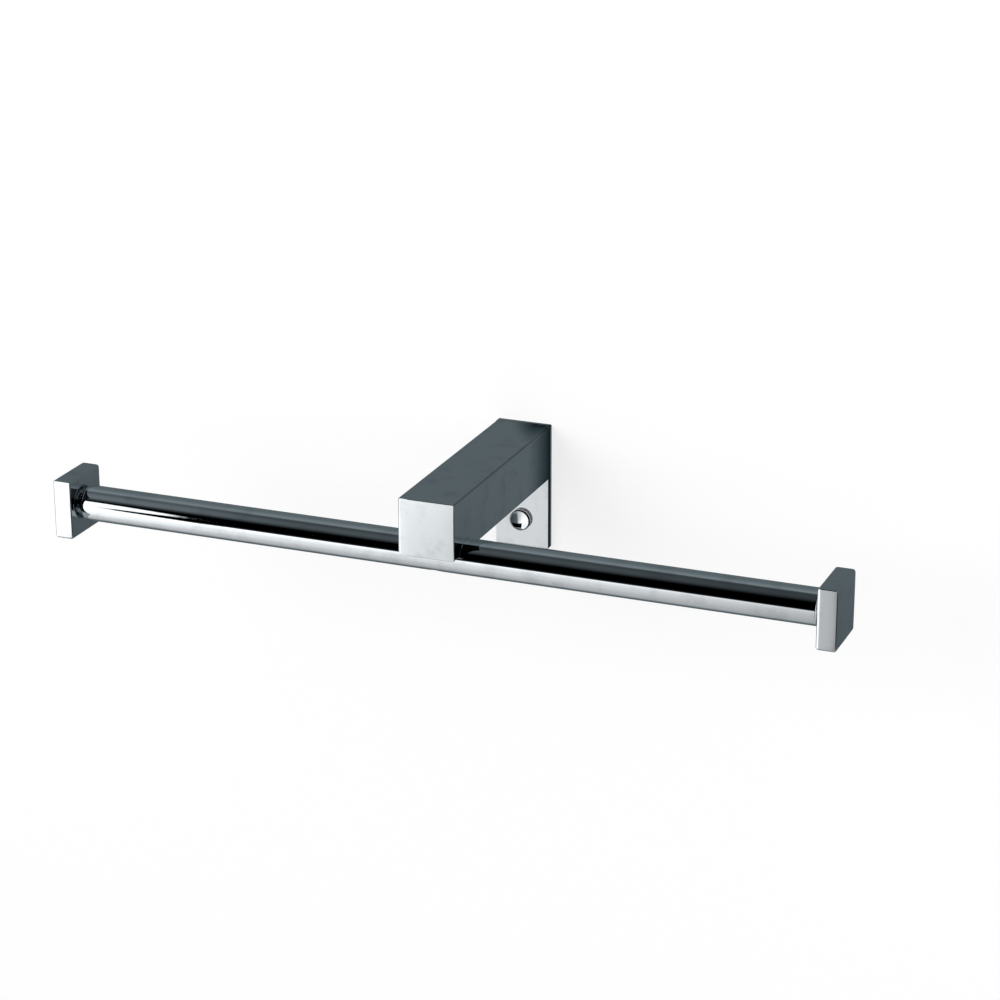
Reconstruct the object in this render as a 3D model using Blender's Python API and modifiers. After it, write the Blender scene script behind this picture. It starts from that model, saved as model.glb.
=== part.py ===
"""Double toilet roll holder with a square arm and one bar that serves two rolls.

A square arm stands out from a wall plate and carries a round bar in a saddle
cut into its underside. The bar reaches out to both sides and ends in square
blocks. Everything is in metres. +Z is up, the wall is the plane Y = 0, the
arm points along -Y, and the origin is the middle of the plate's back face.
"""

import math

import bmesh
import bpy
from mathutils import Matrix, Vector

# Wall plate, arm and what joins them
arm_width = 0.022
arm_height = 0.0218
projection = 0.0970
plate_height = 0.0500
plate_thickness = 0.003
arm_wall = 0.0023
arm_edge = 0.0010
arm_front_edge = 0.0004
plate_edge = 0.0003
plate_corner = 0.0006
saddle_back_wall = 0.006
cavity_draft = 0.0003
wall_hole_radius = 0.0025
lower_hole_up = 0.0109

# Bar and its place under the arm
bar_radius = 0.00675
bar_wall = 0.0010
bar_rim = 0.0009
bar_setback = 0.0115
bar_drop = 0.0234
block_reach = 0.1449
core_length = 0.024

# End blocks and their plugs
block_side = 0.0230
block_thickness = 0.0075
block_edge = 0.0011
neck_length = 0.0014
neck_radius = 0.0047
plug_length = 0.011
plug_chamfer = 0.0006
stud_radius = 0.0025
stud_chamfer = 0.0005
stud_block_depth = 0.0048
stud_plug_depth = 0.0080

# Spigot and its screws
spigot_length = 0.013
spigot_bore_radius = 0.0051
spigot_edge = 0.0008
spigot_screw_radius = 0.0015
spigot_screw_head_radius = 0.00275
spigot_screw_length = 0.0085
spigot_screw_inset = 0.0026
spigot_screw_tip = 0.0005
spigot_screw_socket_across = 0.0020
spigot_screw_socket_depth = 0.0010

# Grub screw in the arm's underside
grub_radius = 0.0020
grub_tip_radius = 0.0010
grub_from_plate = 0.0070
grub_dimple_depth = 0.0010
grub_socket_across = 0.0020
grub_socket_depth = 0.0012

# Screw that holds the bar up in its saddle
bar_screw_radius = 0.0020
bar_screw_head_radius = 0.00375
bar_screw_length = 0.019
bar_screw_tip = 0.0005
bar_screw_sink = 0.0013
bar_screw_socket_across = 0.0025
bar_screw_socket_depth = 0.0016

# Cup washer and cap on the lower wall screw
cap_radius = 0.0042
cap_height = 0.0022
cap_edge = 0.0005
cap_dish_depth = 0.0008
cap_wall = 0.0005
cup_height = 0.0006
cup_rim_height = 0.0004
cup_seat_radius = 0.0029
cup_foot = 0.0002

# Clearances and how finely round things are divided
seat_gap = 0.0003
cut_overrun = 0.001
merge_distance = 0.00001
aligned = 0.999
bar_steps = 64
inner_steps = 40
cap_steps = 40
screw_steps = 24
edge_segments = 4
small_edge_segments = 2
cap_arc_steps = 7
cap_edge_steps = 3
rim_arc_steps = 4

# Places worked out from the sizes above
plate_top = plate_height / 2
arm_bottom = plate_top - arm_height
arm_axis = plate_top - arm_height / 2
arm_back = -plate_thickness - seat_gap
arm_front = -projection
bar_y = -projection + bar_setback
bar_z = plate_top - bar_drop
bar_end = block_reach - neck_length
saddle_radius = bar_radius + seat_gap
bar_bore_radius = bar_radius - bar_wall
plug_radius = bar_bore_radius - seat_gap
cavity_width = arm_width - 2 * arm_wall
cavity_height = arm_height - 2 * arm_wall
cavity_front = bar_y + saddle_radius + saddle_back_wall
spigot_width = cavity_width - 2 * seat_gap - 2 * cavity_draft
spigot_height = cavity_height - 2 * seat_gap - 2 * cavity_draft
spigot_back = arm_back
spigot_front = spigot_back - spigot_length
spigot_bottom = arm_axis - spigot_height / 2
grub_y = -plate_thickness - grub_from_plate
upper_hole_z = arm_axis
lower_hole_z = lower_hole_up - plate_top
x_axis = Vector((1, 0, 0))
y_axis = Vector((0, 1, 0))
z_axis = Vector((0, 0, 1))

CHROME = ("Polished chrome", (0.62, 0.65, 0.67), 0.06, 1.0)
BRASS = ("Turned brass", (0.72, 0.55, 0.27), 0.30, 1.0)
STEEL = ("Stainless steel", (0.56, 0.57, 0.58), 0.28, 1.0)
ZINC = ("Cast zinc", (0.45, 0.46, 0.48), 0.45, 1.0)
NYLON = ("White nylon", (0.86, 0.86, 0.84), 0.45, 0.0)


def clear_scene():
    for item in list(bpy.data.objects):
        bpy.data.objects.remove(item, do_unlink=True)


def new_collection(name):
    collection = bpy.data.collections.new(name)
    bpy.context.scene.collection.children.link(collection)
    return collection


def make_material(finish):
    name, color, roughness, metallic = finish
    material = bpy.data.materials.new(name)
    material.use_nodes = True
    shader = material.node_tree.nodes["Principled BSDF"]
    shader.inputs["Base Color"].default_value = (*color, 1.0)
    shader.inputs["Roughness"].default_value = roughness
    shader.inputs["Metallic"].default_value = metallic
    return material


def add_object(name, shape, collection, material=None):
    """Turn a bmesh into an object, smooth across all but its sharp edges."""
    mesh = bpy.data.meshes.new(name)
    shape.to_mesh(mesh)
    shape.free()
    mesh.shade_smooth()
    mesh.set_sharp_from_angle(angle=math.radians(35))
    item = bpy.data.objects.new(name, mesh)
    collection.objects.link(item)
    if material:
        mesh.materials.append(material)
    return item


def box_shape(low, high):
    """A box between two corners."""
    shape = bmesh.new()
    bmesh.ops.create_cube(shape, size=1)
    size = Vector(high) - Vector(low)
    middle = (Vector(high) + Vector(low)) / 2
    bmesh.ops.scale(shape, vec=size, verts=shape.verts)
    bmesh.ops.translate(shape, vec=middle, verts=shape.verts)
    return shape


def edges_along(shape, axis):
    """The straight edges that run along an axis."""
    found = []
    for edge in shape.edges:
        run = (edge.verts[1].co - edge.verts[0].co).normalized()
        if abs(run.dot(axis)) > aligned:
            found.append(edge)
    return found


def face_edges(shape, direction):
    """The edges round the faces that look in a direction."""
    found = set()
    for face in shape.faces:
        if face.normal.dot(direction) > aligned:
            found.update(face.edges)
    return list(found)


def round_edges(shape, edges, radius, segments):
    bmesh.ops.bevel(shape, geom=edges, offset=radius, segments=segments, profile=0.5,
                    affect="EDGES", clamp_overlap=True)
    shape.normal_update()


def arc_points(middle_r, middle_z, radius, start, end, steps):
    """Points (r, z) of an arc, from one angle to another in degrees."""
    points = []
    for i in range(steps + 1):
        angle = math.radians(start + (end - start) * i / steps)
        points.append((middle_r + radius * math.cos(angle), middle_z + radius * math.sin(angle)))
    return points


def turned(name, points, closed, place, direction, steps, collection, material=None):
    """A profile of (r, z) points turned about Z, then aimed so that Z looks in a direction.

    The points run down the outer side, from top to bottom.
    """
    mesh = bpy.data.meshes.new(name)
    count = len(points)
    edges = [(i, i + 1) for i in range(count - 1)]
    if closed:
        edges.append((count - 1, 0))
    mesh.from_pydata([(r, 0, z) for r, z in points], edges, [])
    item = bpy.data.objects.new(name, mesh)
    collection.objects.link(item)
    if material:
        mesh.materials.append(material)
    item.rotation_mode = "QUATERNION"
    item.rotation_quaternion = z_axis.rotation_difference(direction)
    item.location = place
    screw = item.modifiers.new("Turn", "SCREW")
    screw.axis = "Z"
    screw.angle = math.radians(360)
    screw.steps = steps
    screw.render_steps = steps
    screw.use_merge_vertices = True
    screw.merge_threshold = merge_distance
    screw.use_smooth_shade = True
    return item


def rod_cutter(name, start, end, radius, steps, collection):
    """A plain round cutter between two points."""
    run = Vector(end) - Vector(start)
    shape = bmesh.new()
    bmesh.ops.create_cone(shape, cap_ends=True, segments=steps, radius1=radius, radius2=radius,
                          depth=run.length)
    aim = z_axis.rotation_difference(run.normalized()).to_matrix().to_4x4()
    middle = Matrix.Translation((Vector(start) + Vector(end)) / 2)
    shape.transform(middle @ aim)
    return as_cutter(add_object(name, shape, collection))


def hex_cutter(name, start, end, across, collection):
    """A six-sided cutter for a key socket, across its flats."""
    return rod_cutter(name, start, end, across / math.sqrt(3), 6, collection)


def as_cutter(item):
    item.display_type = "WIRE"
    item.hide_render = True
    return item


def cut(item, cutter):
    boolean = item.modifiers.new("Cut " + cutter.name, "BOOLEAN")
    boolean.operation = "DIFFERENCE"
    boolean.solver = "EXACT"
    boolean.object = cutter


def csk_screw_points(head_radius, radius, length, tip):
    """Countersunk screw, head face at z = 0 and shank downwards."""
    return [
        (0, 0),
        (head_radius, 0),
        (radius, -(head_radius - radius)),
        (radius, -length + tip),
        (radius - tip, -length),
        (0, -length),
    ]


def csk_seat_points(head_radius, radius, depth, overrun):
    """Cutter for a countersunk hole whose mouth lies at z = 0."""
    return [
        (0, overrun),
        (head_radius + seat_gap, overrun),
        (head_radius + seat_gap, 0),
        (radius + seat_gap, -(head_radius - radius)),
        (radius + seat_gap, -depth),
        (0, -depth),
    ]


def spigot_screw_places():
    """Upper left and lower right corner of the spigot, looked at from the front."""
    across = spigot_width / 2 - spigot_screw_inset
    up = spigot_height / 2 - spigot_screw_inset
    return [("upper", -across, arm_axis + up), ("lower", across, arm_axis - up)]


def build_wall_plate(parts, cutters, chrome):
    shape = box_shape((-arm_width / 2, -plate_thickness, -plate_height / 2),
                      (arm_width / 2, 0, plate_height / 2))
    round_edges(shape, edges_along(shape, y_axis), plate_corner, small_edge_segments)
    round_edges(shape, face_edges(shape, -y_axis), plate_edge, small_edge_segments)
    plate = add_object("wall_plate", shape, parts, chrome)
    for label, height in (("upper", upper_hole_z), ("lower", lower_hole_z)):
        hole = rod_cutter("wall_hole_" + label, (0, cut_overrun, height),
                          (0, -plate_thickness - cut_overrun, height),
                          wall_hole_radius, screw_steps, cutters)
        cut(plate, hole)
    for label, across, height in spigot_screw_places():
        seat = turned("spigot_screw_seat_" + label,
                      csk_seat_points(spigot_screw_head_radius, spigot_screw_radius,
                                      plate_thickness + cut_overrun, cut_overrun),
                      False, (across, -seat_gap, height), y_axis, screw_steps, cutters)
        cut(plate, as_cutter(seat))


def build_spigot(parts, cutters, zinc):
    shape = box_shape((-spigot_width / 2, spigot_front, arm_axis - spigot_height / 2),
                      (spigot_width / 2, spigot_back, arm_axis + spigot_height / 2))
    round_edges(shape, edges_along(shape, y_axis), arm_edge, small_edge_segments)
    round_edges(shape, face_edges(shape, -y_axis), spigot_edge, small_edge_segments)
    spigot = add_object("spigot", shape, parts, zinc)
    bore = rod_cutter("spigot_bore", (0, spigot_back + cut_overrun, arm_axis),
                      (0, spigot_front - cut_overrun, arm_axis),
                      spigot_bore_radius, screw_steps, cutters)
    cut(spigot, bore)
    thread_end = -seat_gap - spigot_screw_length - seat_gap
    for label, across, height in spigot_screw_places():
        thread = rod_cutter("spigot_thread_" + label, (across, spigot_back + cut_overrun, height),
                            (across, thread_end, height),
                            spigot_screw_radius + seat_gap, screw_steps, cutters)
        cut(spigot, thread)
    dimple = turned("grub_dimple",
                    [(0, grub_dimple_depth),
                     (grub_tip_radius, grub_dimple_depth),
                     (grub_tip_radius + grub_dimple_depth, 0),
                     (grub_tip_radius + grub_dimple_depth, -cut_overrun),
                     (0, -cut_overrun)],
                    False, (0, grub_y, spigot_bottom), z_axis, screw_steps, cutters)
    cut(spigot, as_cutter(dimple))


def build_spigot_screws(parts, cutters, steel):
    for label, across, height in spigot_screw_places():
        points = csk_screw_points(spigot_screw_head_radius, spigot_screw_radius,
                                  spigot_screw_length, spigot_screw_tip)
        screw = turned("spigot_screw_" + label, points, False, (across, -seat_gap, height),
                       y_axis, screw_steps, parts, steel)
        socket = hex_cutter("spigot_screw_socket_" + label, (across, cut_overrun, height),
                            (across, -seat_gap - spigot_screw_socket_depth, height),
                            spigot_screw_socket_across, cutters)
        cut(screw, socket)


def build_arm(parts, cutters, chrome):
    """The casting: cored from the back, solid round the saddle that takes the bar."""
    shape = box_shape((-arm_width / 2, arm_front, arm_bottom), (arm_width / 2, arm_back, plate_top))
    round_edges(shape, edges_along(shape, y_axis), arm_edge, edge_segments)
    round_edges(shape, face_edges(shape, -y_axis), arm_front_edge, small_edge_segments)
    arm = add_object("arm", shape, parts, chrome)

    core = box_shape((-cavity_width / 2, cavity_front, arm_axis - cavity_height / 2),
                     (cavity_width / 2, arm_back + cut_overrun, arm_axis + cavity_height / 2))
    inner = [v for v in core.verts if v.co.y < (cavity_front + arm_back) / 2]
    for vertex in inner:
        vertex.co.x -= math.copysign(cavity_draft, vertex.co.x)
        vertex.co.z -= math.copysign(cavity_draft, vertex.co.z - arm_axis)
    round_edges(core, edges_along(core, y_axis), arm_edge, small_edge_segments)
    cut(arm, as_cutter(add_object("arm_core", core, cutters)))

    reach = arm_width / 2 + cut_overrun
    cut(arm, rod_cutter("saddle", (-reach, bar_y, bar_z), (reach, bar_y, bar_z),
                        saddle_radius, bar_steps, cutters))
    cut(arm, rod_cutter("bar_screw_thread", (0, bar_y, bar_z),
                        (0, bar_y, bar_screw_base() + bar_screw_length + seat_gap),
                        bar_screw_radius + seat_gap, screw_steps, cutters))
    cut(arm, rod_cutter("grub_thread", (0, grub_y, arm_bottom - cut_overrun),
                        (0, grub_y, arm_bottom + arm_wall + cut_overrun),
                        grub_radius + seat_gap, screw_steps, cutters))


def build_grub_screw(parts, cutters, steel):
    top = spigot_bottom + grub_dimple_depth - seat_gap
    bottom = arm_bottom + seat_gap
    cone = grub_radius - grub_tip_radius
    points = [
        (0, top),
        (grub_tip_radius - seat_gap, top),
        (grub_radius, top - cone),
        (grub_radius, bottom),
        (0, bottom),
    ]
    grub = turned("grub_screw", points, False, (0, grub_y, 0), z_axis, screw_steps, parts, steel)
    cut(grub, hex_cutter("grub_socket", (0, grub_y, bottom - cut_overrun),
                         (0, grub_y, bottom + grub_socket_depth), grub_socket_across, cutters))


def bar_screw_base():
    """Height of the head face of the screw under the bar."""
    return bar_z - bar_radius + bar_screw_sink


def bar_hole_cutter(name, cutters):
    """The counterbored, countersunk hole up through the bar and its core."""
    base = bar_screw_base()
    depth = bar_radius * 2
    points = csk_seat_points(bar_screw_head_radius, bar_screw_radius, depth,
                             bar_screw_sink + cut_overrun)
    return as_cutter(turned(name, points, False, (0, bar_y, base), -z_axis, screw_steps, cutters))


def build_bar(parts, cutters, chrome):
    """One tube from end to end, its rims rolled round."""
    outer_top = arc_points(bar_radius - bar_rim, bar_end - bar_rim, bar_rim, 90, 0, rim_arc_steps)
    outer_bottom = arc_points(bar_radius - bar_rim, bar_rim - bar_end, bar_rim, 0, -90,
                              rim_arc_steps)
    inner = [(bar_bore_radius, -bar_end), (bar_bore_radius, bar_end)]
    bar = turned("bar", outer_top + outer_bottom + inner, True, (0, bar_y, bar_z), x_axis,
                 bar_steps, parts, chrome)
    cut(bar, bar_hole_cutter("bar_screw_hole", cutters))


def build_bar_core(parts, cutters, brass):
    half = core_length / 2
    points = [
        (0, half),
        (plug_radius - plug_chamfer, half),
        (plug_radius, half - plug_chamfer),
        (plug_radius, plug_chamfer - half),
        (plug_radius - plug_chamfer, -half),
        (0, -half),
    ]
    core = turned("bar_core", points, False, (0, bar_y, bar_z), x_axis, inner_steps, parts, brass)
    cut(core, bar_hole_cutter("bar_core_hole", cutters))


def build_bar_screw(parts, cutters, steel):
    base = bar_screw_base()
    points = csk_screw_points(bar_screw_head_radius, bar_screw_radius, bar_screw_length,
                              bar_screw_tip)
    screw = turned("bar_screw", points, False, (0, bar_y, base), -z_axis, screw_steps, parts, steel)
    cut(screw, hex_cutter("bar_screw_socket", (0, bar_y, base - cut_overrun),
                          (0, bar_y, base + bar_screw_socket_depth), bar_screw_socket_across,
                          cutters))


def build_end_plug(side, sign, parts, brass):
    """Turned plug that fills the tube's mouth and narrows to the neck at the block."""
    bore = stud_radius + seat_gap
    neck = neck_length - seat_gap
    bore_end = -stud_plug_depth - seat_gap
    points = [
        (0, bore_end),
        (bore, bore_end),
        (bore, neck),
        (neck_radius, neck),
        (neck_radius, -seat_gap),
        (plug_radius, -seat_gap),
        (plug_radius, plug_chamfer - plug_length),
        (plug_radius - plug_chamfer, -plug_length),
        (0, -plug_length),
    ]
    turned("end_plug_" + side, points, False, (sign * bar_end, bar_y, bar_z),
           sign * x_axis, inner_steps, parts, brass)


def build_end_stud(side, sign, parts, steel):
    outer = stud_block_depth
    inner = -neck_length - stud_plug_depth
    points = [
        (0, outer),
        (stud_radius - stud_chamfer, outer),
        (stud_radius, outer - stud_chamfer),
        (stud_radius, inner + stud_chamfer),
        (stud_radius - stud_chamfer, inner),
        (0, inner),
    ]
    turned("end_stud_" + side, points, False, (sign * block_reach, bar_y, bar_z),
           sign * x_axis, screw_steps, parts, steel)


def build_end_block(side, sign, parts, cutters, chrome):
    near, far = sign * block_reach, sign * (block_reach + block_thickness)
    half = block_side / 2
    shape = box_shape((min(near, far), bar_y - half, bar_z - half),
                      (max(near, far), bar_y + half, bar_z + half))
    round_edges(shape, list(shape.edges), block_edge, edge_segments)
    block = add_object("end_block_" + side, shape, parts, chrome)
    depth = stud_block_depth + seat_gap
    cut(block, rod_cutter("block_thread_" + side, (near - sign * cut_overrun, bar_y, bar_z),
                          (near + sign * depth, bar_y, bar_z), stud_radius + seat_gap,
                          screw_steps, cutters))


def build_screw_cup(parts, nylon):
    """Cup washer, its cone open to the front for the wall screw's head."""
    outer = cap_radius - cap_wall - seat_gap
    points = [
        (outer, cup_rim_height),
        (outer, 0),
        (wall_hole_radius, 0),
        (wall_hole_radius, cup_foot),
        (cup_seat_radius, cup_height),
    ]
    turned("screw_cup", points, True, (0, -plate_thickness - seat_gap, lower_hole_z),
           -y_axis, cap_steps, parts, nylon)


def build_screw_cap(parts, chrome):
    """A small pressed cap with a rounded edge and a shallow dish in its face."""
    dish_radius = cap_radius - cap_edge
    sphere = (dish_radius * dish_radius + cap_dish_depth * cap_dish_depth) / (2 * cap_dish_depth)
    half_angle = math.degrees(math.asin(dish_radius / sphere))
    floor = cap_height - cap_dish_depth
    dish = arc_points(0, floor + sphere, sphere, -90, half_angle - 90, cap_arc_steps)
    dish[0] = (0, floor)
    edge = arc_points(dish_radius, cap_height - cap_edge, cap_edge, 90, 0, cap_edge_steps)
    inner = cap_radius - cap_wall
    side_and_hollow = [
        (cap_radius, 0),
        (inner, 0),
        (inner, cup_rim_height + seat_gap),
        (inner - cap_wall, floor - cap_wall),
        (0, floor - cap_wall),
    ]
    turned("screw_cap", dish + edge[1:] + side_and_hollow, False,
           (0, -plate_thickness - seat_gap, lower_hole_z), -y_axis, cap_steps, parts, chrome)


def main():
    clear_scene()
    parts = new_collection("Double toilet roll holder")
    cutters = new_collection("Cutters")
    chrome = make_material(CHROME)
    brass = make_material(BRASS)
    steel = make_material(STEEL)
    zinc = make_material(ZINC)
    nylon = make_material(NYLON)

    build_wall_plate(parts, cutters, chrome)
    build_spigot(parts, cutters, zinc)
    build_spigot_screws(parts, cutters, steel)
    build_arm(parts, cutters, chrome)
    build_grub_screw(parts, cutters, steel)
    build_bar(parts, cutters, chrome)
    build_bar_core(parts, cutters, brass)
    build_bar_screw(parts, cutters, steel)
    for side, sign in (("left", -1), ("right", 1)):
        build_end_plug(side, sign, parts, brass)
        build_end_stud(side, sign, parts, steel)
        build_end_block(side, sign, parts, cutters, chrome)
    build_screw_cup(parts, nylon)
    build_screw_cap(parts, chrome)


main()
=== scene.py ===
"""Looks of the double toilet roll holder: polished pieces, their finishes and a small studio.

Laid out as a Blender add-on and run as a script. Each operator makes one piece, or one
group of like pieces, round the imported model. Metres throughout: X runs along the bar,
the wall is the plane Y = 0 and Z is up.
"""

import math

import bmesh
import bpy
from bpy.props import FloatProperty, FloatVectorProperty, IntProperty
from bpy.types import Operator, Panel, PropertyGroup
from mathutils import Matrix, Vector


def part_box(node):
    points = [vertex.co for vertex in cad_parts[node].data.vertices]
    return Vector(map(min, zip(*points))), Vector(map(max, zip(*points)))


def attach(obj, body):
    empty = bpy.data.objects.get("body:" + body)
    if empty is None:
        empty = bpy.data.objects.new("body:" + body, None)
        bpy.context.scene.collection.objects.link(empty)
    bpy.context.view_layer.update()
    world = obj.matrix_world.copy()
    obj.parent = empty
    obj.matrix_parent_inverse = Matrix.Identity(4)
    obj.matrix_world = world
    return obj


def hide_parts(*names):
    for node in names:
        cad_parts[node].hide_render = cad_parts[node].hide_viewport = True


bl_info = {
    "name": "Double Toilet Roll Holder",
    "version": (1, 0, 0),
    "blender": (4, 5, 0),
    "location": "3D View > Sidebar > Roll Holder",
    "description": "Wall-mounted holder with one round bar for two toilet rolls",
    "category": "Add Mesh",
}

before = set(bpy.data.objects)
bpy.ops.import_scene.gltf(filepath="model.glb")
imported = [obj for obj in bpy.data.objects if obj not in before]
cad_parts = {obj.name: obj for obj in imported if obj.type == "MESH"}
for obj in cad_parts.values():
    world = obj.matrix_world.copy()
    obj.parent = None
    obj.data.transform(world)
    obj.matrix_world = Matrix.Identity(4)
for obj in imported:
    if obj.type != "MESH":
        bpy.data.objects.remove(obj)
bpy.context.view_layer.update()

BODY = "root"
X_AXIS = Vector((1, 0, 0))
Y_AXIS = Vector((0, 1, 0))
Z_AXIS = Vector((0, 0, 1))
SIDES = (("left", -1), ("right", 1))
FULL_TURN = 2 * math.pi
ALIGNED = 0.999
SHARP_ANGLE = math.radians(35)
MERGE = 0.000001
OVERRUN = 0.001
BLACK = (0.0, 0.0, 0.0)
WHITE = (1.0, 1.0, 1.0)

CHROME_BAR = "Chrome plated tube"
CHROME_TURNED = "Chrome on turned brass"
CHROME_PRESSED = "Chrome on the pressed cap"
BRASS = "Turned brass"
STEEL = "Stainless screw steel"
ZINC = "Cast zinc"
NYLON = "White nylon"


class HolderSizes(PropertyGroup):
    """Small sizes of the finished pieces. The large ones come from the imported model."""

    seam: FloatProperty(
        name="Seam", description="Gap left where two pieces meet",
        default=0.00005, min=0.0, unit="LENGTH")
    arm_edge: FloatProperty(
        name="Arm edge", description="Rounding of the arm's long edges",
        default=0.0010, min=0.0, unit="LENGTH")
    arm_front_edge: FloatProperty(
        name="Arm front edge", description="Rounding round the arm's front face",
        default=0.0003, min=0.0, unit="LENGTH")
    arm_wall: FloatProperty(
        name="Arm wall", description="Wall of the arm's hollow back end",
        default=0.0023, min=0.0, unit="LENGTH")
    saddle_wall: FloatProperty(
        name="Saddle wall", description="Solid metal between the saddle and the arm's hollow",
        default=0.006, min=0.0, unit="LENGTH")
    arm_left_edge: FloatProperty(
        name="Arm left edge", description="Rounding down the left of the arm's front face",
        default=0.0011, min=0.0, unit="LENGTH")
    crown: FloatProperty(
        name="Arm crown", description="How far the arm's front face stands proud of its corners",
        default=0.00030, min=0.0, unit="LENGTH")
    crown_power: IntProperty(
        name="Crown power", description="How late the crown falls away towards the border",
        default=4, min=2)
    block_crown: FloatProperty(
        name="Block crown", description="How far an end block's face stands proud of its border",
        default=0.00004, min=0.0, unit="LENGTH")
    saddle_break: FloatProperty(
        name="Saddle edge", description="Edge broken round the mouth of the arm's saddle",
        default=0.00015, min=0.0, unit="LENGTH")
    plate_edge: FloatProperty(
        name="Plate edge", description="Rounding round the plate's front face",
        default=0.0003, min=0.0, unit="LENGTH")
    plate_corner: FloatProperty(
        name="Plate corner", description="Rounding of the plate's four corners",
        default=0.0006, min=0.0, unit="LENGTH")
    hole_break: FloatProperty(
        name="Hole edge", description="Edge broken round each drilled hole",
        default=0.0002, min=0.0, unit="LENGTH")
    wall_hole: FloatProperty(
        name="Wall hole radius", description="Radius of the two holes for the wall screws",
        default=0.0025, min=0.0, unit="LENGTH")
    bar_rim: FloatProperty(
        name="Bar rim", description="Rounding of the tube's two rims",
        default=0.0005, min=0.0, unit="LENGTH")
    bar_wall: FloatProperty(
        name="Bar wall", description="Wall of the tube",
        default=0.0010, min=0.0, unit="LENGTH")
    block_front_edge: FloatProperty(
        name="Block front edge", description="Rounding at the top and right of a block's front",
        default=0.0004, min=0.0, unit="LENGTH")
    block_edge: FloatProperty(
        name="Block edge", description="Rounding of the end blocks' edges",
        default=0.0011, min=0.0, unit="LENGTH")
    neck_radius: FloatProperty(
        name="Neck radius", description="Radius of the plug's neck beside the block",
        default=0.0047, min=0.0, unit="LENGTH")
    neck_fillet: FloatProperty(
        name="Neck fillet", description="Rounding at the foot of the neck",
        default=0.0003, min=0.0, unit="LENGTH")
    cap_edge: FloatProperty(
        name="Cap edge", description="Rounding round the screw cap's face",
        default=0.0005, min=0.0, unit="LENGTH")
    cap_height: FloatProperty(
        name="Cap height", description="How far the screw cap stands out from the plate",
        default=0.0016, min=0.0, unit="LENGTH")
    cap_dish: FloatProperty(
        name="Cap dish", description="Depth of the dish in the cap's face",
        default=0.0006, min=0.0, unit="LENGTH")
    cap_sheet: FloatProperty(
        name="Cap sheet", description="Thickness of the cap's sheet below the dish",
        default=0.00015, min=0.0, unit="LENGTH")
    cap_shift: FloatProperty(
        name="Cap shift", description="How far the cap sits to the left on its cup washer",
        default=0.0004, min=0.0, unit="LENGTH")
    bar_screw_shank: FloatProperty(
        name="Bar screw shank", description="Radius of the screw that holds the bar",
        default=0.0020, min=0.0, unit="LENGTH")
    bar_screw_key: FloatProperty(
        name="Bar screw key", description="Key size of the screw that holds the bar",
        default=0.0025, min=0.0, unit="LENGTH")
    small_shank: FloatProperty(
        name="Spigot screw shank", description="Radius of the two screws that hold the spigot",
        default=0.0015, min=0.0, unit="LENGTH")
    small_key: FloatProperty(
        name="Small key", description="Key size of the spigot screws and the grub screw",
        default=0.0020, min=0.0, unit="LENGTH")
    key_depth: FloatProperty(
        name="Key socket depth", description="Depth of the key sockets in the screws",
        default=0.0014, min=0.0, unit="LENGTH")
    screw_tip: FloatProperty(
        name="Screw tip", description="Chamfer at the tips of the screws",
        default=0.0005, min=0.0, unit="LENGTH")
    screw_break: FloatProperty(
        name="Screw edge", description="Edge broken round the screws' heads",
        default=0.00018, min=0.0, unit="LENGTH")
    face_cuts: IntProperty(
        name="Face cuts", description="Cuts across a crowned face", default=4, min=1)
    bar_steps: IntProperty(
        name="Bar steps", description="Facets round the tube", default=192, min=12)
    small_steps: IntProperty(
        name="Small steps", description="Facets round screws, plugs and holes", default=72, min=12)
    edge_steps: IntProperty(
        name="Edge steps", description="Facets across a rounded edge", default=8, min=1)


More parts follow.
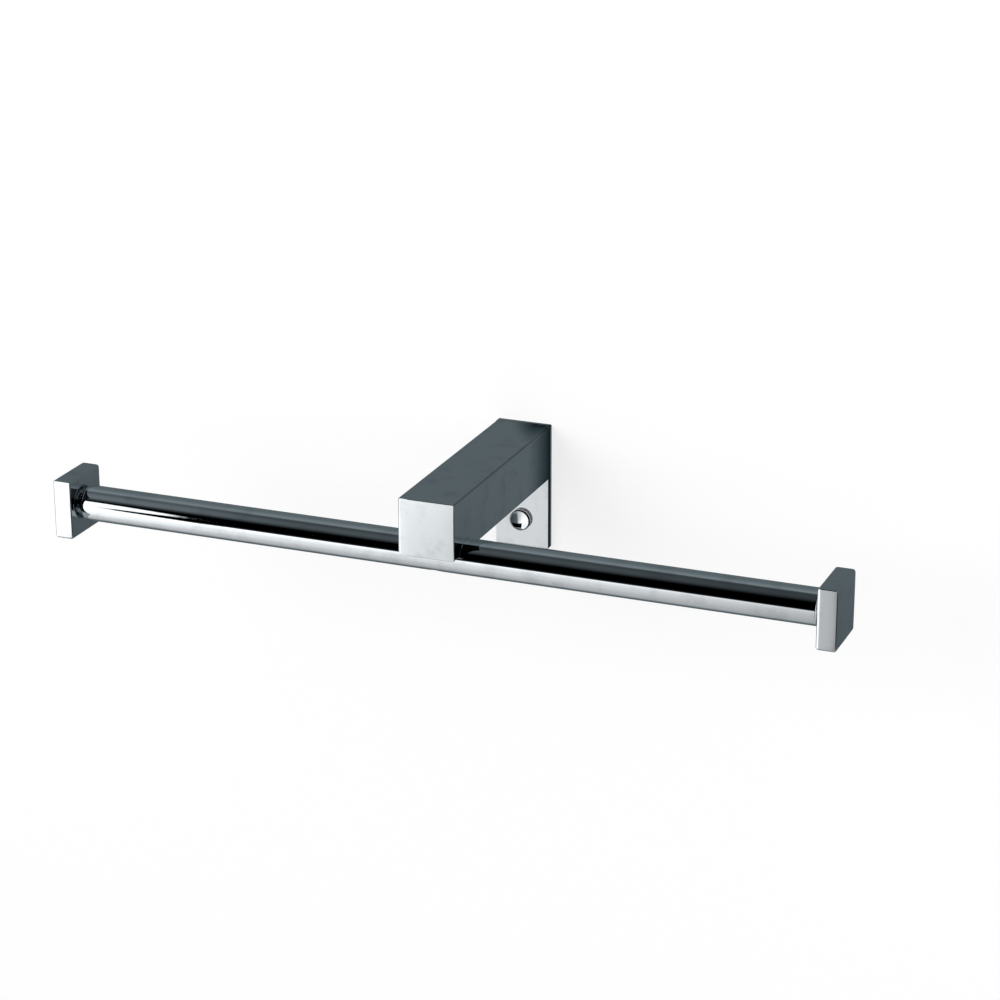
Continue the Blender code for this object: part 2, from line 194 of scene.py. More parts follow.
class HolderFinishes(PropertyGroup):
    """Colours of the metals and the plastic, and how they are polished."""

    chrome_color: FloatVectorProperty(
        name="Chrome", description="Colour that the chrome plate reflects",
        default=(0.62, 0.65, 0.67), min=0.0, max=1.0, subtype="COLOR")
    tube_color: FloatVectorProperty(
        name="Tube chrome", description="Colour that the brighter chrome of the tube reflects",
        default=(0.71, 0.745, 0.77), min=0.0, max=1.0, subtype="COLOR")
    plate_color: FloatVectorProperty(
        name="Plate chrome", description="Colour that the duller chrome of the wall plate reflects",
        default=(0.575, 0.60, 0.62), min=0.0, max=1.0, subtype="COLOR")
    bloom: FloatProperty(
        name="Chrome bloom", description="How much darker chrome is where it is slightly clouded",
        default=0.16, min=0.0, max=1.0)
    bloom_roughness: FloatProperty(
        name="Bloom roughness", description="How many times rougher clouded chrome is",
        default=1.9, min=1.0)
    brass_color: FloatVectorProperty(
        name="Brass", description="Unplated brass", default=(0.72, 0.55, 0.27),
        min=0.0, max=1.0, subtype="COLOR")
    brass_tarnish: FloatVectorProperty(
        name="Brass tarnish", description="Brass in the turning marks",
        default=(0.45, 0.31, 0.13), min=0.0, max=1.0, subtype="COLOR")
    steel_color: FloatVectorProperty(
        name="Steel", description="Stainless steel of the screws",
        default=(0.56, 0.57, 0.58), min=0.0, max=1.0, subtype="COLOR")
    steel_dark: FloatVectorProperty(
        name="Steel marks", description="Steel in its drawing marks",
        default=(0.36, 0.37, 0.38), min=0.0, max=1.0, subtype="COLOR")
    zinc_color: FloatVectorProperty(
        name="Zinc", description="Cast zinc of the spigot", default=(0.45, 0.46, 0.48),
        min=0.0, max=1.0, subtype="COLOR")
    zinc_dark: FloatVectorProperty(
        name="Zinc pits", description="Cast zinc in its pits and flow lines",
        default=(0.25, 0.26, 0.28), min=0.0, max=1.0, subtype="COLOR")
    nylon_color: FloatVectorProperty(
        name="Nylon", description="White nylon of the cup washer",
        default=(0.86, 0.86, 0.84), min=0.0, max=1.0, subtype="COLOR")
    nylon_shade: FloatVectorProperty(
        name="Nylon flow marks", description="Nylon where it is slightly duller",
        default=(0.78, 0.78, 0.75), min=0.0, max=1.0, subtype="COLOR")
    chrome_roughness: FloatProperty(
        name="Chrome roughness", description="Roughness of clean polished chrome",
        default=0.035, min=0.0, max=1.0)
    tube_roughness: FloatProperty(
        name="Tube roughness", description="Roughness of the tube's brighter chrome",
        default=0.015, min=0.0, max=1.0)
    drop_roughness: FloatProperty(
        name="Dried drop roughness", description="Roughness that is added under dried drops",
        default=0.0385, min=0.0, max=1.0)
    hairline_roughness: FloatProperty(
        name="Hairline roughness", description="Roughness that is added in the hairlines",
        default=0.012, min=0.0, max=1.0)
    mark_size: FloatProperty(
        name="Water mark size", description="Size of the clouded patches and of the dried drops",
        default=0.009, min=0.0001, unit="LENGTH")
    edge_width: FloatProperty(
        name="Edge width", description="How far the duller polish of an edge reaches",
        default=0.0009, min=0.0, unit="LENGTH")
    # Painted shade: a dark line drawn along the arm's long edges, in place of the dark that those
    # edges reflect.
    painted_edge_shade_width: FloatProperty(
        name="Painted edge shade width", description="Width of the darker plate on the arm's long edges",
        default=0.0008, min=0.0, unit="LENGTH")
    painted_edge_shade: FloatProperty(
        name="Painted edge shade", description="How much darker the plate is on the arm's long edges",
        default=0.75, min=0.0, max=1.0)
    # Painted shade: the rim round the screw cap's face is drawn darker, in place of the shade in its
    # crease.
    painted_rim_shade: FloatProperty(
        name="Painted rim shade", description="How much darker the dirt makes the rim of the screw cap",
        default=0.9, min=0.0, max=1.0)
    side_color: FloatVectorProperty(
        name="Cap side", description="Colour of the cap's side, which is left satin",
        default=(0.90, 0.91, 0.92), min=0.0, max=1.0, subtype="COLOR")
    side_haze: FloatProperty(
        name="Cap side haze", description="How little of the mirror is left on the cap's side",
        default=1.0, min=0.0, max=1.0)
    side_roughness: FloatProperty(
        name="Cap side roughness", description="Roughness that is added on the side of the cap",
        default=0.45, min=0.0, max=1.0)
    edge_roughness: FloatProperty(
        name="Edge roughness", description="Roughness that is added along edges",
        default=0.03, min=0.0, max=1.0)
    wave_length: FloatProperty(
        name="Polishing wave", description="Distance between the waves that polishing leaves",
        default=0.007, min=0.0001, unit="LENGTH")
    wave_height: FloatProperty(
        name="Polishing wave height", description="Height of the waves that polishing leaves",
        default=0.000006, min=0.0, unit="LENGTH")
    hairline_spacing: FloatProperty(
        name="Hairline spacing", description="Distance between fine polishing lines",
        default=0.00025, min=0.00001, unit="LENGTH")
    hairline_height: FloatProperty(
        name="Hairline height", description="Depth of the fine polishing lines",
        default=0.00000012, min=0.0, unit="LENGTH")
    bare_roughness: FloatProperty(
        name="Bare metal roughness", description="Roughness of bare brass and steel",
        default=0.24, min=0.0, max=1.0)
    bare_mark_size: FloatProperty(
        name="Bare metal stains", description="Size of the stains on bare brass and steel",
        default=0.004, min=0.0001, unit="LENGTH")
    brass_line_spacing: FloatProperty(
        name="Brass line spacing", description="Distance between the turning lines in brass",
        default=0.00022, min=0.00001, unit="LENGTH")
    brass_line_height: FloatProperty(
        name="Brass line height", description="Depth of the turning lines in brass",
        default=0.000004, min=0.0, unit="LENGTH")
    steel_line_spacing: FloatProperty(
        name="Steel line spacing", description="Distance between the drawing lines in steel",
        default=0.00030, min=0.00001, unit="LENGTH")
    steel_line_height: FloatProperty(
        name="Steel line height", description="Depth of the drawing lines in steel",
        default=0.000003, min=0.0, unit="LENGTH")
    zinc_flow: FloatProperty(
        name="Zinc flow", description="Distance between the flow lines in cast zinc",
        default=0.0018, min=0.0001, unit="LENGTH")
    zinc_depth: FloatProperty(
        name="Zinc relief", description="Depth of the grain and the pits in cast zinc",
        default=0.00002, min=0.0, unit="LENGTH")
    nylon_flow: FloatProperty(
        name="Nylon flow", description="Distance between the flow marks in nylon",
        default=0.0022, min=0.0001, unit="LENGTH")
    nylon_mark_size: FloatProperty(
        name="Nylon marks", description="Size of the duller patches on nylon",
        default=0.003, min=0.0001, unit="LENGTH")
    nylon_depth: FloatProperty(
        name="Nylon relief", description="Depth of the fine grain on nylon",
        default=0.000003, min=0.0, unit="LENGTH")
    nylon_reach: FloatProperty(
        name="Nylon reach", description="How deep light runs into nylon",
        default=0.0006, min=0.0, unit="LENGTH")


class StudioSettings(PropertyGroup):
    """Camera, wall, floor and light."""

    lens: FloatProperty(
        name="Lens", description="Focal length in millimetres on the sensor below",
        default=107.54, min=1.0)
    sensor: FloatProperty(
        name="Sensor", description="Sensor width in millimetres", default=36.0, min=1.0)
    camera_place: FloatVectorProperty(
        name="Camera place", description="Where the camera stands",
        default=(0.39831, -1.01277, 0.38940), subtype="TRANSLATION", unit="LENGTH")
    camera_yaw: FloatProperty(
        name="Camera yaw", description="Turn of the camera to its left",
        default=math.radians(21.9782), subtype="ANGLE", unit="ROTATION")
    camera_pitch: FloatProperty(
        name="Camera pitch", description="How far the camera looks down",
        default=math.radians(20.0247), subtype="ANGLE", unit="ROTATION")
    camera_roll: FloatProperty(
        name="Camera roll", description="Turn of the camera about its own line of sight",
        default=math.radians(-0.1374), subtype="ANGLE", unit="ROTATION")
    wall_color: FloatVectorProperty(
        name="Wall", description="Colour of the wall and the floor",
        default=(0.40, 0.40, 0.40), min=0.0, max=1.0, subtype="COLOR")
    wall_half_width: FloatProperty(
        name="Wall half width", description="How far the wall runs to each side",
        default=1.6, min=0.1, unit="LENGTH")
    wall_top: FloatProperty(
        name="Wall top", description="Height of the wall above the holder",
        default=0.46, min=0.1, unit="LENGTH")
    wall_gap: FloatProperty(
        name="Wall gap", description="Gap between the plate's back and the wall",
        default=0.0002, min=0.0, unit="LENGTH")
    floor_drop: FloatProperty(
        name="Floor drop", description="Depth of the floor below the holder",
        default=0.34, min=0.1, unit="LENGTH")
    floor_depth: FloatProperty(
        name="Floor depth", description="How far the floor runs out from the wall",
        default=2.4, min=0.1, unit="LENGTH")
    # Painted reflection: the wall shows polished metal these dim colours instead of its own white,
    # darker below the arm.
    slate: FloatVectorProperty(
        name="Dim wall", description="What polished metal sees of the wall close by",
        default=(0.132, 0.162, 0.175), min=0.0, max=1.0, subtype="COLOR")
    slate_far: FloatVectorProperty(
        name="Dim wall further off", description="What polished metal sees of the wall further off",
        default=(0.225, 0.262, 0.280), min=0.0, max=1.0, subtype="COLOR")
    slate_low: FloatVectorProperty(
        name="Dim wall below", description="What polished metal sees of the wall below the arm",
        default=(0.108, 0.133, 0.145), min=0.0, max=1.0, subtype="COLOR")
    # Painted shade: the holder's shade on the wall as polished metal sees it, with a painted black
    # contact shadow in the corner at the plate.
    shade: FloatVectorProperty(
        name="Wall beside the holder", description="What polished metal sees where holder meets wall",
        default=(0.014, 0.030, 0.034), min=0.0, max=1.0, subtype="COLOR")
    shade_reach: FloatProperty(
        name="Shade reach", description="How far that shade reaches round the plate",
        default=0.011, min=0.001, unit="LENGTH")
    shade_shift: FloatProperty(
        name="Shade shift", description="How far that shade lies to the right",
        default=0.0075, min=0.0, unit="LENGTH")
    corner_reach: FloatProperty(
        name="Corner reach", description="How far the dark of the corner at the plate reaches",
        default=0.0020, min=0.0001, unit="LENGTH")
    wall_glow: FloatProperty(
        name="Wall glow", description="How much whiter the wall looks to the camera",
        default=0.695, min=0.0, max=1.0)
    fill_strength: FloatProperty(
        name="Fill", description="Even light from all round", default=0.78, min=0.0)
    key_strength: FloatProperty(
        name="Key", description="Strength of the soft key light", default=0.80, min=0.0)
    key_spread: FloatProperty(
        name="Key spread", description="Angle that the key light fills",
        default=math.radians(32), subtype="ANGLE", unit="ROTATION")
    key_direction: FloatVectorProperty(
        name="Key direction", description="Way that the key light travels",
        default=(0.55, 1.0, -0.42), subtype="DIRECTION")


def sizes():
    return bpy.context.scene.roll_holder_sizes


def finishes():
    return bpy.context.scene.roll_holder_finishes


def studio():
    return bpy.context.scene.roll_holder_studio


def middle_of(node):
    """The middle of a node's box."""
    low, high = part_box(node)
    return (low + high) / 2


def half_spans(node):
    """Half of a node's extent along X, Y and Z."""
    low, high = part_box(node)
    return [(high[i] - low[i]) / 2 for i in range(3)]


def link_object(name, mesh):
    """A new object in the scene."""
    item = bpy.data.objects.new(name, mesh)
    bpy.context.scene.collection.objects.link(item)
    return item


def shape_object(name, shape):
    """Turn a bmesh into an object and free it."""
    mesh = bpy.data.meshes.new(name)
    shape.to_mesh(mesh)
    shape.free()
    return link_object(name, mesh)


def box_shape(low, high):
    """A box between two corners."""
    shape = bmesh.new()
    bmesh.ops.create_cube(shape, size=1)
    bmesh.ops.scale(shape, vec=high - low, verts=shape.verts)
    bmesh.ops.translate(shape, vec=(low + high) / 2, verts=shape.verts)
    return shape


def grid_box(low, high):
    """A box between two corners, its faces divided so that they can be crowned."""
    shape = box_shape(low, high)
    bmesh.ops.subdivide_edges(shape, edges=list(shape.edges), cuts=sizes().face_cuts,
                              use_grid_fill=True)
    shape.normal_update()
    return shape


def corner_edges(shape):
    """The edges where two faces meet at an angle."""
    return [edge for edge in shape.edges if edge.calc_face_angle(0.0) > SHARP_ANGLE]


def edges_along(shape, axis):
    """The corner edges that run along an axis."""
    found = []
    for edge in corner_edges(shape):
        run = (edge.verts[1].co - edge.verts[0].co).normalized()
        if abs(run.dot(axis)) > ALIGNED:
            found.append(edge)
    return found


def face_edges(shape, direction):
    """The corner edges round the faces that look in a direction."""
    found = []
    for edge in corner_edges(shape):
        if any(face.normal.dot(direction) > ALIGNED for face in edge.link_faces):
            found.append(edge)
    return found


def edges_between(shape, first, second):
    """The corner edges between the faces that look in two directions."""
    found = []
    for edge in face_edges(shape, first):
        if any(face.normal.dot(second) > ALIGNED for face in edge.link_faces):
            found.append(edge)
    return found


def soften(shape, radii, steps):
    """Round the edges of a shape, each by its own radius."""
    largest = max(radii.values())
    shape.edges.index_update()
    shares = {edge.index: radius / largest for edge, radius in radii.items()}
    weight = shape.edges.layers.float.new("bevel_weight_edge")
    for edge in shape.edges:
        edge[weight] = shares.get(edge.index, 0.0)
    item = shape_object("softened", shape)
    bevel = item.modifiers.new("Edges", "BEVEL")
    bevel.width = largest
    bevel.segments = steps
    bevel.limit_method = "WEIGHT"
    apply_modifiers(item)
    mesh = item.data
    rounded = bmesh.new()
    rounded.from_mesh(mesh)
    bpy.data.objects.remove(item, do_unlink=True)
    bpy.data.meshes.remove(mesh)
    return rounded


def crown_face(shape, direction, rise, power=2):
    """Swell the face that looks in a direction: its middle stays, its border draws back.

    A higher power keeps more of the face flat, and lets it fall away later.
    """
    places = [vertex.co.copy() for vertex in shape.verts]
    low = Vector([min(place[i] for place in places) for i in range(3)])
    high = Vector([max(place[i] for place in places) for i in range(3)])
    middle, half = (low + high) / 2, (high - low) / 2
    for vertex in shape.verts:
        share = Vector([(vertex.co[i] - middle[i]) / half[i] for i in range(3)])
        toward = share.dot(direction)
        if toward > 0.0:
            across = sum(abs(part) ** power for part in share) - toward ** power
            vertex.co -= direction * (rise * toward * across / 2)
    shape.normal_update()


def round_edges(shape, edges, radius, steps):
    """Round some edges of a shape by one radius."""
    bmesh.ops.bevel(shape, geom=edges, offset=radius, segments=steps, profile=0.5,
                    affect="EDGES", clamp_overlap=True)
    shape.normal_update()


def arc_points(middle_r, middle_z, radius, start, end, steps):
    """Points (r, z) of an arc, from one angle to another in degrees."""
    points = []
    for i in range(steps + 1):
        angle = math.radians(start + (end - start) * i / steps)
        points.append((middle_r + radius * math.cos(angle), middle_z + radius * math.sin(angle)))
    return points


def turned(name, points, closed, place, direction, steps):
    """A profile of (r, z) points turned about Z, then aimed so that Z looks in a direction.

    The points run down the outer side, from top to bottom.
    """
    mesh = bpy.data.meshes.new(name)
    edges = [(i, i + 1) for i in range(len(points) - 1)]
    if closed:
        edges.append((len(points) - 1, 0))
    mesh.from_pydata([(r, 0, z) for r, z in points], edges, [])
    item = link_object(name, mesh)
    screw = item.modifiers.new("Turn", "SCREW")
    screw.axis = "Z"
    screw.angle = FULL_TURN
    screw.steps = steps
    screw.render_steps = steps
    screw.use_merge_vertices = True
    screw.merge_threshold = MERGE
    apply_modifiers(item)
    aim = Z_AXIS.rotation_difference(direction).to_matrix().to_4x4()
    item.data.transform(Matrix.Translation(place) @ aim)
    return item


def hex_rod(name, start, end, across):
    """A six-sided rod between two points, for cutting a key socket."""
    run = end - start
    shape = bmesh.new()
    corner = across / math.sqrt(3)
    bmesh.ops.create_cone(shape, cap_ends=True, segments=6, radius1=corner, radius2=corner,
                          depth=run.length)
    aim = Z_AXIS.rotation_difference(run.normalized()).to_matrix().to_4x4()
    shape.transform(Matrix.Translation((start + end) / 2) @ aim)
    return shape_object(name, shape)


def apply_modifiers(item):
    """Give an object the mesh that its modifiers make."""
    view = bpy.context.evaluated_depsgraph_get()
    view.update()
    mesh = bpy.data.meshes.new_from_object(item.evaluated_get(view))
    item.modifiers.clear()
    old = item.data
    item.data = mesh
    bpy.data.meshes.remove(old)
    mesh.name = item.name


def carve(item, cutters):
    """Cut shapes away from a piece and remove them."""
    for cutter in cutters:
        boolean = item.modifiers.new("Cut", "BOOLEAN")
        boolean.operation = "DIFFERENCE"
        boolean.solver = "EXACT"
        boolean.object = cutter
    apply_modifiers(item)
    for cutter in cutters:
        mesh = cutter.data
        bpy.data.objects.remove(cutter, do_unlink=True)
        bpy.data.meshes.remove(mesh)


def finish_piece(item, material, nodes):
    """Shade a piece, give it its finish and let it stand for its nodes."""
    mesh = item.data
    mesh.shade_smooth()
    mesh.set_sharp_from_angle(angle=SHARP_ANGLE)
    mesh.materials.clear()
    mesh.materials.append(bpy.data.materials[material])
    weighted = item.modifiers.new("Even normals", "WEIGHTED_NORMAL")
    weighted.keep_sharp = True
    weighted.weight = 100
    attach(item, BODY)
    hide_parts(*nodes)
    return item


def drill(name, place, direction, radius, depth, flare):
    """Cutter for a round hole from a mouth inwards, its edge broken by the flare."""
    points = [
        (0, OVERRUN),
        (radius + flare + OVERRUN, OVERRUN),
        (radius, -flare),
        (radius, -depth),
        (0, -depth),
    ]
    return turned(name, points, False, place, direction, sizes().small_steps)


def through_drill(name, middle, direction, radius, thickness, flare, steps):
    """Cutter for a hole right through a piece, the edges at both its mouths broken."""
    half = thickness / 2
    points = [
        (0, half + OVERRUN),
        (radius + flare + OVERRUN, half + OVERRUN),
        (radius, half - flare),
        (radius, flare - half),
        (radius + flare + OVERRUN, -half - OVERRUN),
        (0, -half - OVERRUN),
    ]
    return turned(name, points, False, middle, direction, steps)


def countersink(name, place, direction, head_radius, radius, depth):
    """Cutter for a countersunk hole with its mouth at the place."""
    points = [
        (0, OVERRUN),
        (head_radius + OVERRUN, OVERRUN),
        (radius, radius - head_radius),
        (radius, -depth),
        (0, -depth),
    ]
    return turned(name, points, False, place, direction, sizes().small_steps)


class NodeBench:
    """Places shader nodes in one tree and wires them."""

    def __init__(self, tree):
        self.tree = tree

    def put(self, kind, **settings):
        """A new node with some of its settings."""
        node = self.tree.nodes.new(kind)
        for name, value in settings.items():
            setattr(node, name, value)
        return node

    def feed(self, socket, value):
        """Wire a socket to another one, or set its value."""
        if isinstance(value, bpy.types.NodeSocket):
            self.tree.links.new(value, socket)
        elif hasattr(value, "__len__") and len(value) == 3 and len(socket.default_value) == 4:
            socket.default_value = (*value, 1.0)
        else:
            socket.default_value = value

    def math(self, operation, *terms, clamp=False):
        """The outcome of a sum with numbers."""
        node = self.put("ShaderNodeMath", operation=operation, use_clamp=clamp)
        for socket, term in zip(node.inputs, terms):
            self.feed(socket, term)
        return node.outputs["Value"]

    def product(self, *terms):
        """Numbers multiplied by each other."""
        result = terms[0]
        for term in terms[1:]:
            result = self.math("MULTIPLY", result, term)
        return result

    def vector(self, operation, *terms):
        """The outcome of a sum with vectors."""
        node = self.put("ShaderNodeVectorMath", operation=operation)
        for socket, term in zip(node.inputs, terms):
            self.feed(socket, term)
        return node.outputs["Value" if operation == "LENGTH" else "Vector"]

    def parts(self, vector):
        """The X, Y and Z of a vector."""
        node = self.put("ShaderNodeSeparateXYZ")
        self.feed(node.inputs["Vector"], vector)
        return node.outputs

    def between(self, value, low, high, at_low=0.0, at_high=1.0):
        """Eases from one number to another while the value goes from low to high."""
        node = self.put("ShaderNodeMapRange", interpolation_type="SMOOTHSTEP", clamp=True)
        for name, term in (("Value", value), ("From Min", low), ("From Max", high),
                           ("To Min", at_low), ("To Max", at_high)):
            self.feed(node.inputs[name], term)
        return node.outputs["Result"]

    def blend(self, share, first, second):
        """A colour between two, by a share."""
        # The node has its sockets three times over: 6 and 7 are the colours, 2 their outcome.
        node = self.put("ShaderNodeMix", data_type="RGBA")
        self.feed(node.inputs["Factor"], share)
        self.feed(node.inputs[6], first)
        self.feed(node.inputs[7], second)
        return node.outputs[2]

    def weigh(self, share, first, second):
        """A number between two, by a share."""
        # Of the same node's sockets, 2 and 3 are the numbers, and 0 their outcome.
        node = self.put("ShaderNodeMix", data_type="FLOAT")
        self.feed(node.inputs[0], share)
        self.feed(node.inputs[2], first)
        self.feed(node.inputs[3], second)
        return node.outputs[0]

    def choose(self, share, first, second):
        """A shader between two, by a share."""
        node = self.put("ShaderNodeMixShader")
        for socket, term in zip(node.inputs, (share, first, second)):
            self.feed(socket, term)
        return node.outputs[0]

    def noise(self, vector, scale, detail=2.0, roughness=0.5):
        """Soft random patches, as many to the metre as the scale says."""
        node = self.put("ShaderNodeTexNoise")
        for name, term in (("Vector", vector), ("Scale", scale), ("Detail", detail),
                           ("Roughness", roughness)):
            self.feed(node.inputs[name], term)
        return node.outputs["Fac"]

    def group(self, tree, **inputs):
        """The outputs of a shared effect, with its inputs given by name."""
        node = self.put("ShaderNodeGroup", node_tree=tree)
        for name, term in inputs.items():
            self.feed(node.inputs[name.replace("_", " ").capitalize()], term)
        return node.outputs

    def bump(self, height, distance, normal=None):
        """A normal that follows a height, on top of another normal."""
        node = self.put("ShaderNodeBump")
        self.feed(node.inputs["Height"], height)
        node.inputs["Distance"].default_value = distance
        if normal is not None:
            self.feed(node.inputs["Normal"], normal)
        return node.outputs["Normal"]


def new_group(name, inputs, outputs):
    """An empty shader node group with named sockets, and its bench."""
    tree = bpy.data.node_groups.new(name, "ShaderNodeTree")
    for label, kind, default in inputs:
        socket = tree.interface.new_socket(name=label, in_out="INPUT", socket_type=kind)
        socket.default_value = default
    for label, kind in outputs:
        tree.interface.new_socket(name=label, in_out="OUTPUT", socket_type=kind)
    bench = NodeBench(tree)
    return tree, bench, bench.put("NodeGroupInput").outputs, bench.put("NodeGroupOutput").inputs


FLOAT = "NodeSocketFloat"
VECTOR = "NodeSocketVector"
PLACE = ("Place", VECTOR, (0, 0, 0))


def waves_group():
    """Slow waves that hand polishing leaves in a flat face."""
    times_shorter = 2.7
    times_lower = 0.16
    tree, bench, given, result = new_group(
        "Polishing waves", [PLACE, ("Length", FLOAT, 0.007)], [("Height", FLOAT)])
    scale = bench.math("DIVIDE", 1.0, given["Length"])
    long_wave = bench.noise(given["Place"], scale, detail=1.0, roughness=0.35)
    short_wave = bench.noise(given["Place"], bench.product(scale, times_shorter), detail=0.0)
    bench.feed(result["Height"], bench.math("MULTIPLY_ADD", short_wave, times_lower, long_wave))
    return tree


def hairlines_group():
    """Fine parallel lines from polishing, drawing or turning, and a mask of the deepest."""
    deepest = (0.58, 0.74)
    tree, bench, given, result = new_group(
        "Hairlines", [PLACE, ("Stretch", VECTOR, (1, 1, 1)), ("Spacing", FLOAT, 0.0003)],
        [("Height", FLOAT), ("Mask", FLOAT)])
    drawn = bench.vector("MULTIPLY", given["Place"], given["Stretch"])
    lines = bench.noise(drawn, bench.math("DIVIDE", 1.0, given["Spacing"]), detail=3.0,
                        roughness=0.65)
    bench.feed(result["Height"], lines)
    bench.feed(result["Mask"], bench.between(lines, *deepest))
    return tree


def water_marks_group():
    """Clouded patches and the rims of dried drops."""
    clouded = (0.46, 0.72)
    rim_inside, rim_outside = (0.10, 0.17), (0.17, 0.21)
    wobbling = 0.10
    kept_above = 0.72
    tree, bench, given, result = new_group(
        "Water marks", [PLACE, ("Size", FLOAT, 0.006)], [("Film", FLOAT), ("Drops", FLOAT)])
    scale = bench.math("DIVIDE", 1.0, given["Size"])
    cloud = bench.noise(given["Place"], scale, detail=4.0, roughness=0.62)
    bench.feed(result["Film"], bench.between(cloud, *clouded))
    cells = bench.put("ShaderNodeTexVoronoi", feature="F1")
    bench.feed(cells.inputs["Vector"], given["Place"])
    bench.feed(cells.inputs["Scale"], scale)
    wobble = bench.noise(given["Place"], bench.product(scale, 2.0), detail=2.0)
    reach = bench.math("MULTIPLY_ADD", wobble, wobbling, cells.outputs["Distance"])
    rim = bench.math("SUBTRACT", bench.between(reach, *rim_inside),
                     bench.between(reach, *rim_outside))
    chance = bench.put("ShaderNodeSeparateColor")
    bench.feed(chance.inputs["Color"], cells.outputs["Color"])
    kept = bench.math("GREATER_THAN", chance.outputs["Red"], kept_above)
    bench.feed(result["Drops"], bench.math("MULTIPLY", rim, kept, clamp=True))
    return tree


def edge_group():
    """How close a point on a box-shaped piece lies to one of its edges."""
    tree, bench, given, result = new_group(
        "Edge polish and painted shade",
        [PLACE, ("Middle", VECTOR, (0, 0, 0)), ("Half size", VECTOR, (1, 1, 1)),
         ("Width", FLOAT, 0.001)],
        [("Mask", FLOAT)])
    offset = bench.vector("ABSOLUTE", bench.vector("SUBTRACT", given["Place"], given["Middle"]))
    x, y, z = bench.parts(bench.vector("SUBTRACT", given["Half size"], offset))
    least = bench.math("MINIMUM", bench.math("MINIMUM", x, y), z)
    most = bench.math("MAXIMUM", bench.math("MAXIMUM", x, y), z)
    total = bench.math("ADD", bench.math("ADD", x, y), z)
    second = bench.math("SUBTRACT", bench.math("SUBTRACT", total, least), most)
    bench.feed(result["Mask"], bench.between(second, 0.0, given["Width"], 1.0, 0.0))
    return tree


def rim_group():
    """Two masks of a round piece on the wall: the painted shade round its face, and its side.

    Both are measured in widths of its rounded edge, from its radius and its middle.
    """
    # Edge widths in from the radius over which the painted shade round the face comes in.
    painted_shade = (1.1, 0.75)
    side_behind = (0.3, 0.5)
    tree, bench, given, result = new_group(
        "Painted rim shade",
        [PLACE, ("Middle", VECTOR, (0, 0, 0)), ("Radius", FLOAT, 0.004),
         ("Width", FLOAT, 0.0005)],
        [("Mask", FLOAT), ("Side", FLOAT)])
    offset = bench.vector("SUBTRACT", given["Place"], given["Middle"])
    flat = bench.vector("LENGTH", bench.vector("MULTIPLY", offset, (1.0, 0.0, 1.0)))
    depth = bench.math("DIVIDE", bench.math("SUBTRACT", given["Radius"], flat), given["Width"])
    behind = bench.math("DIVIDE", bench.parts(offset)["Y"], given["Width"])
    side = bench.between(behind, *side_behind)
    face = bench.math("SUBTRACT", 1.0, side)
    bench.feed(result["Mask"], bench.product(bench.between(depth, *painted_shade), face))
    bench.feed(result["Side"], side)
    return tree


GROUP_MAKERS = {
    "Polishing waves": waves_group,
    "Hairlines": hairlines_group,
    "Water marks": water_marks_group,
    "Edge polish and painted shade": edge_group,
    "Painted rim shade": rim_group,
}


def effect(name):
    """The shared effect of that name, made when first asked for."""
    return bpy.data.node_groups.get(name) or GROUP_MAKERS[name]()


def new_material(name):
    """A material with its bench, its shader and the place on the piece in metres."""
    material = bpy.data.materials.new(name)
    material.use_nodes = True
    bench = NodeBench(material.node_tree)
    shader = material.node_tree.nodes["Principled BSDF"]
    place = bench.put("ShaderNodeTexCoord").outputs["Object"]
    return material, bench, shader, place


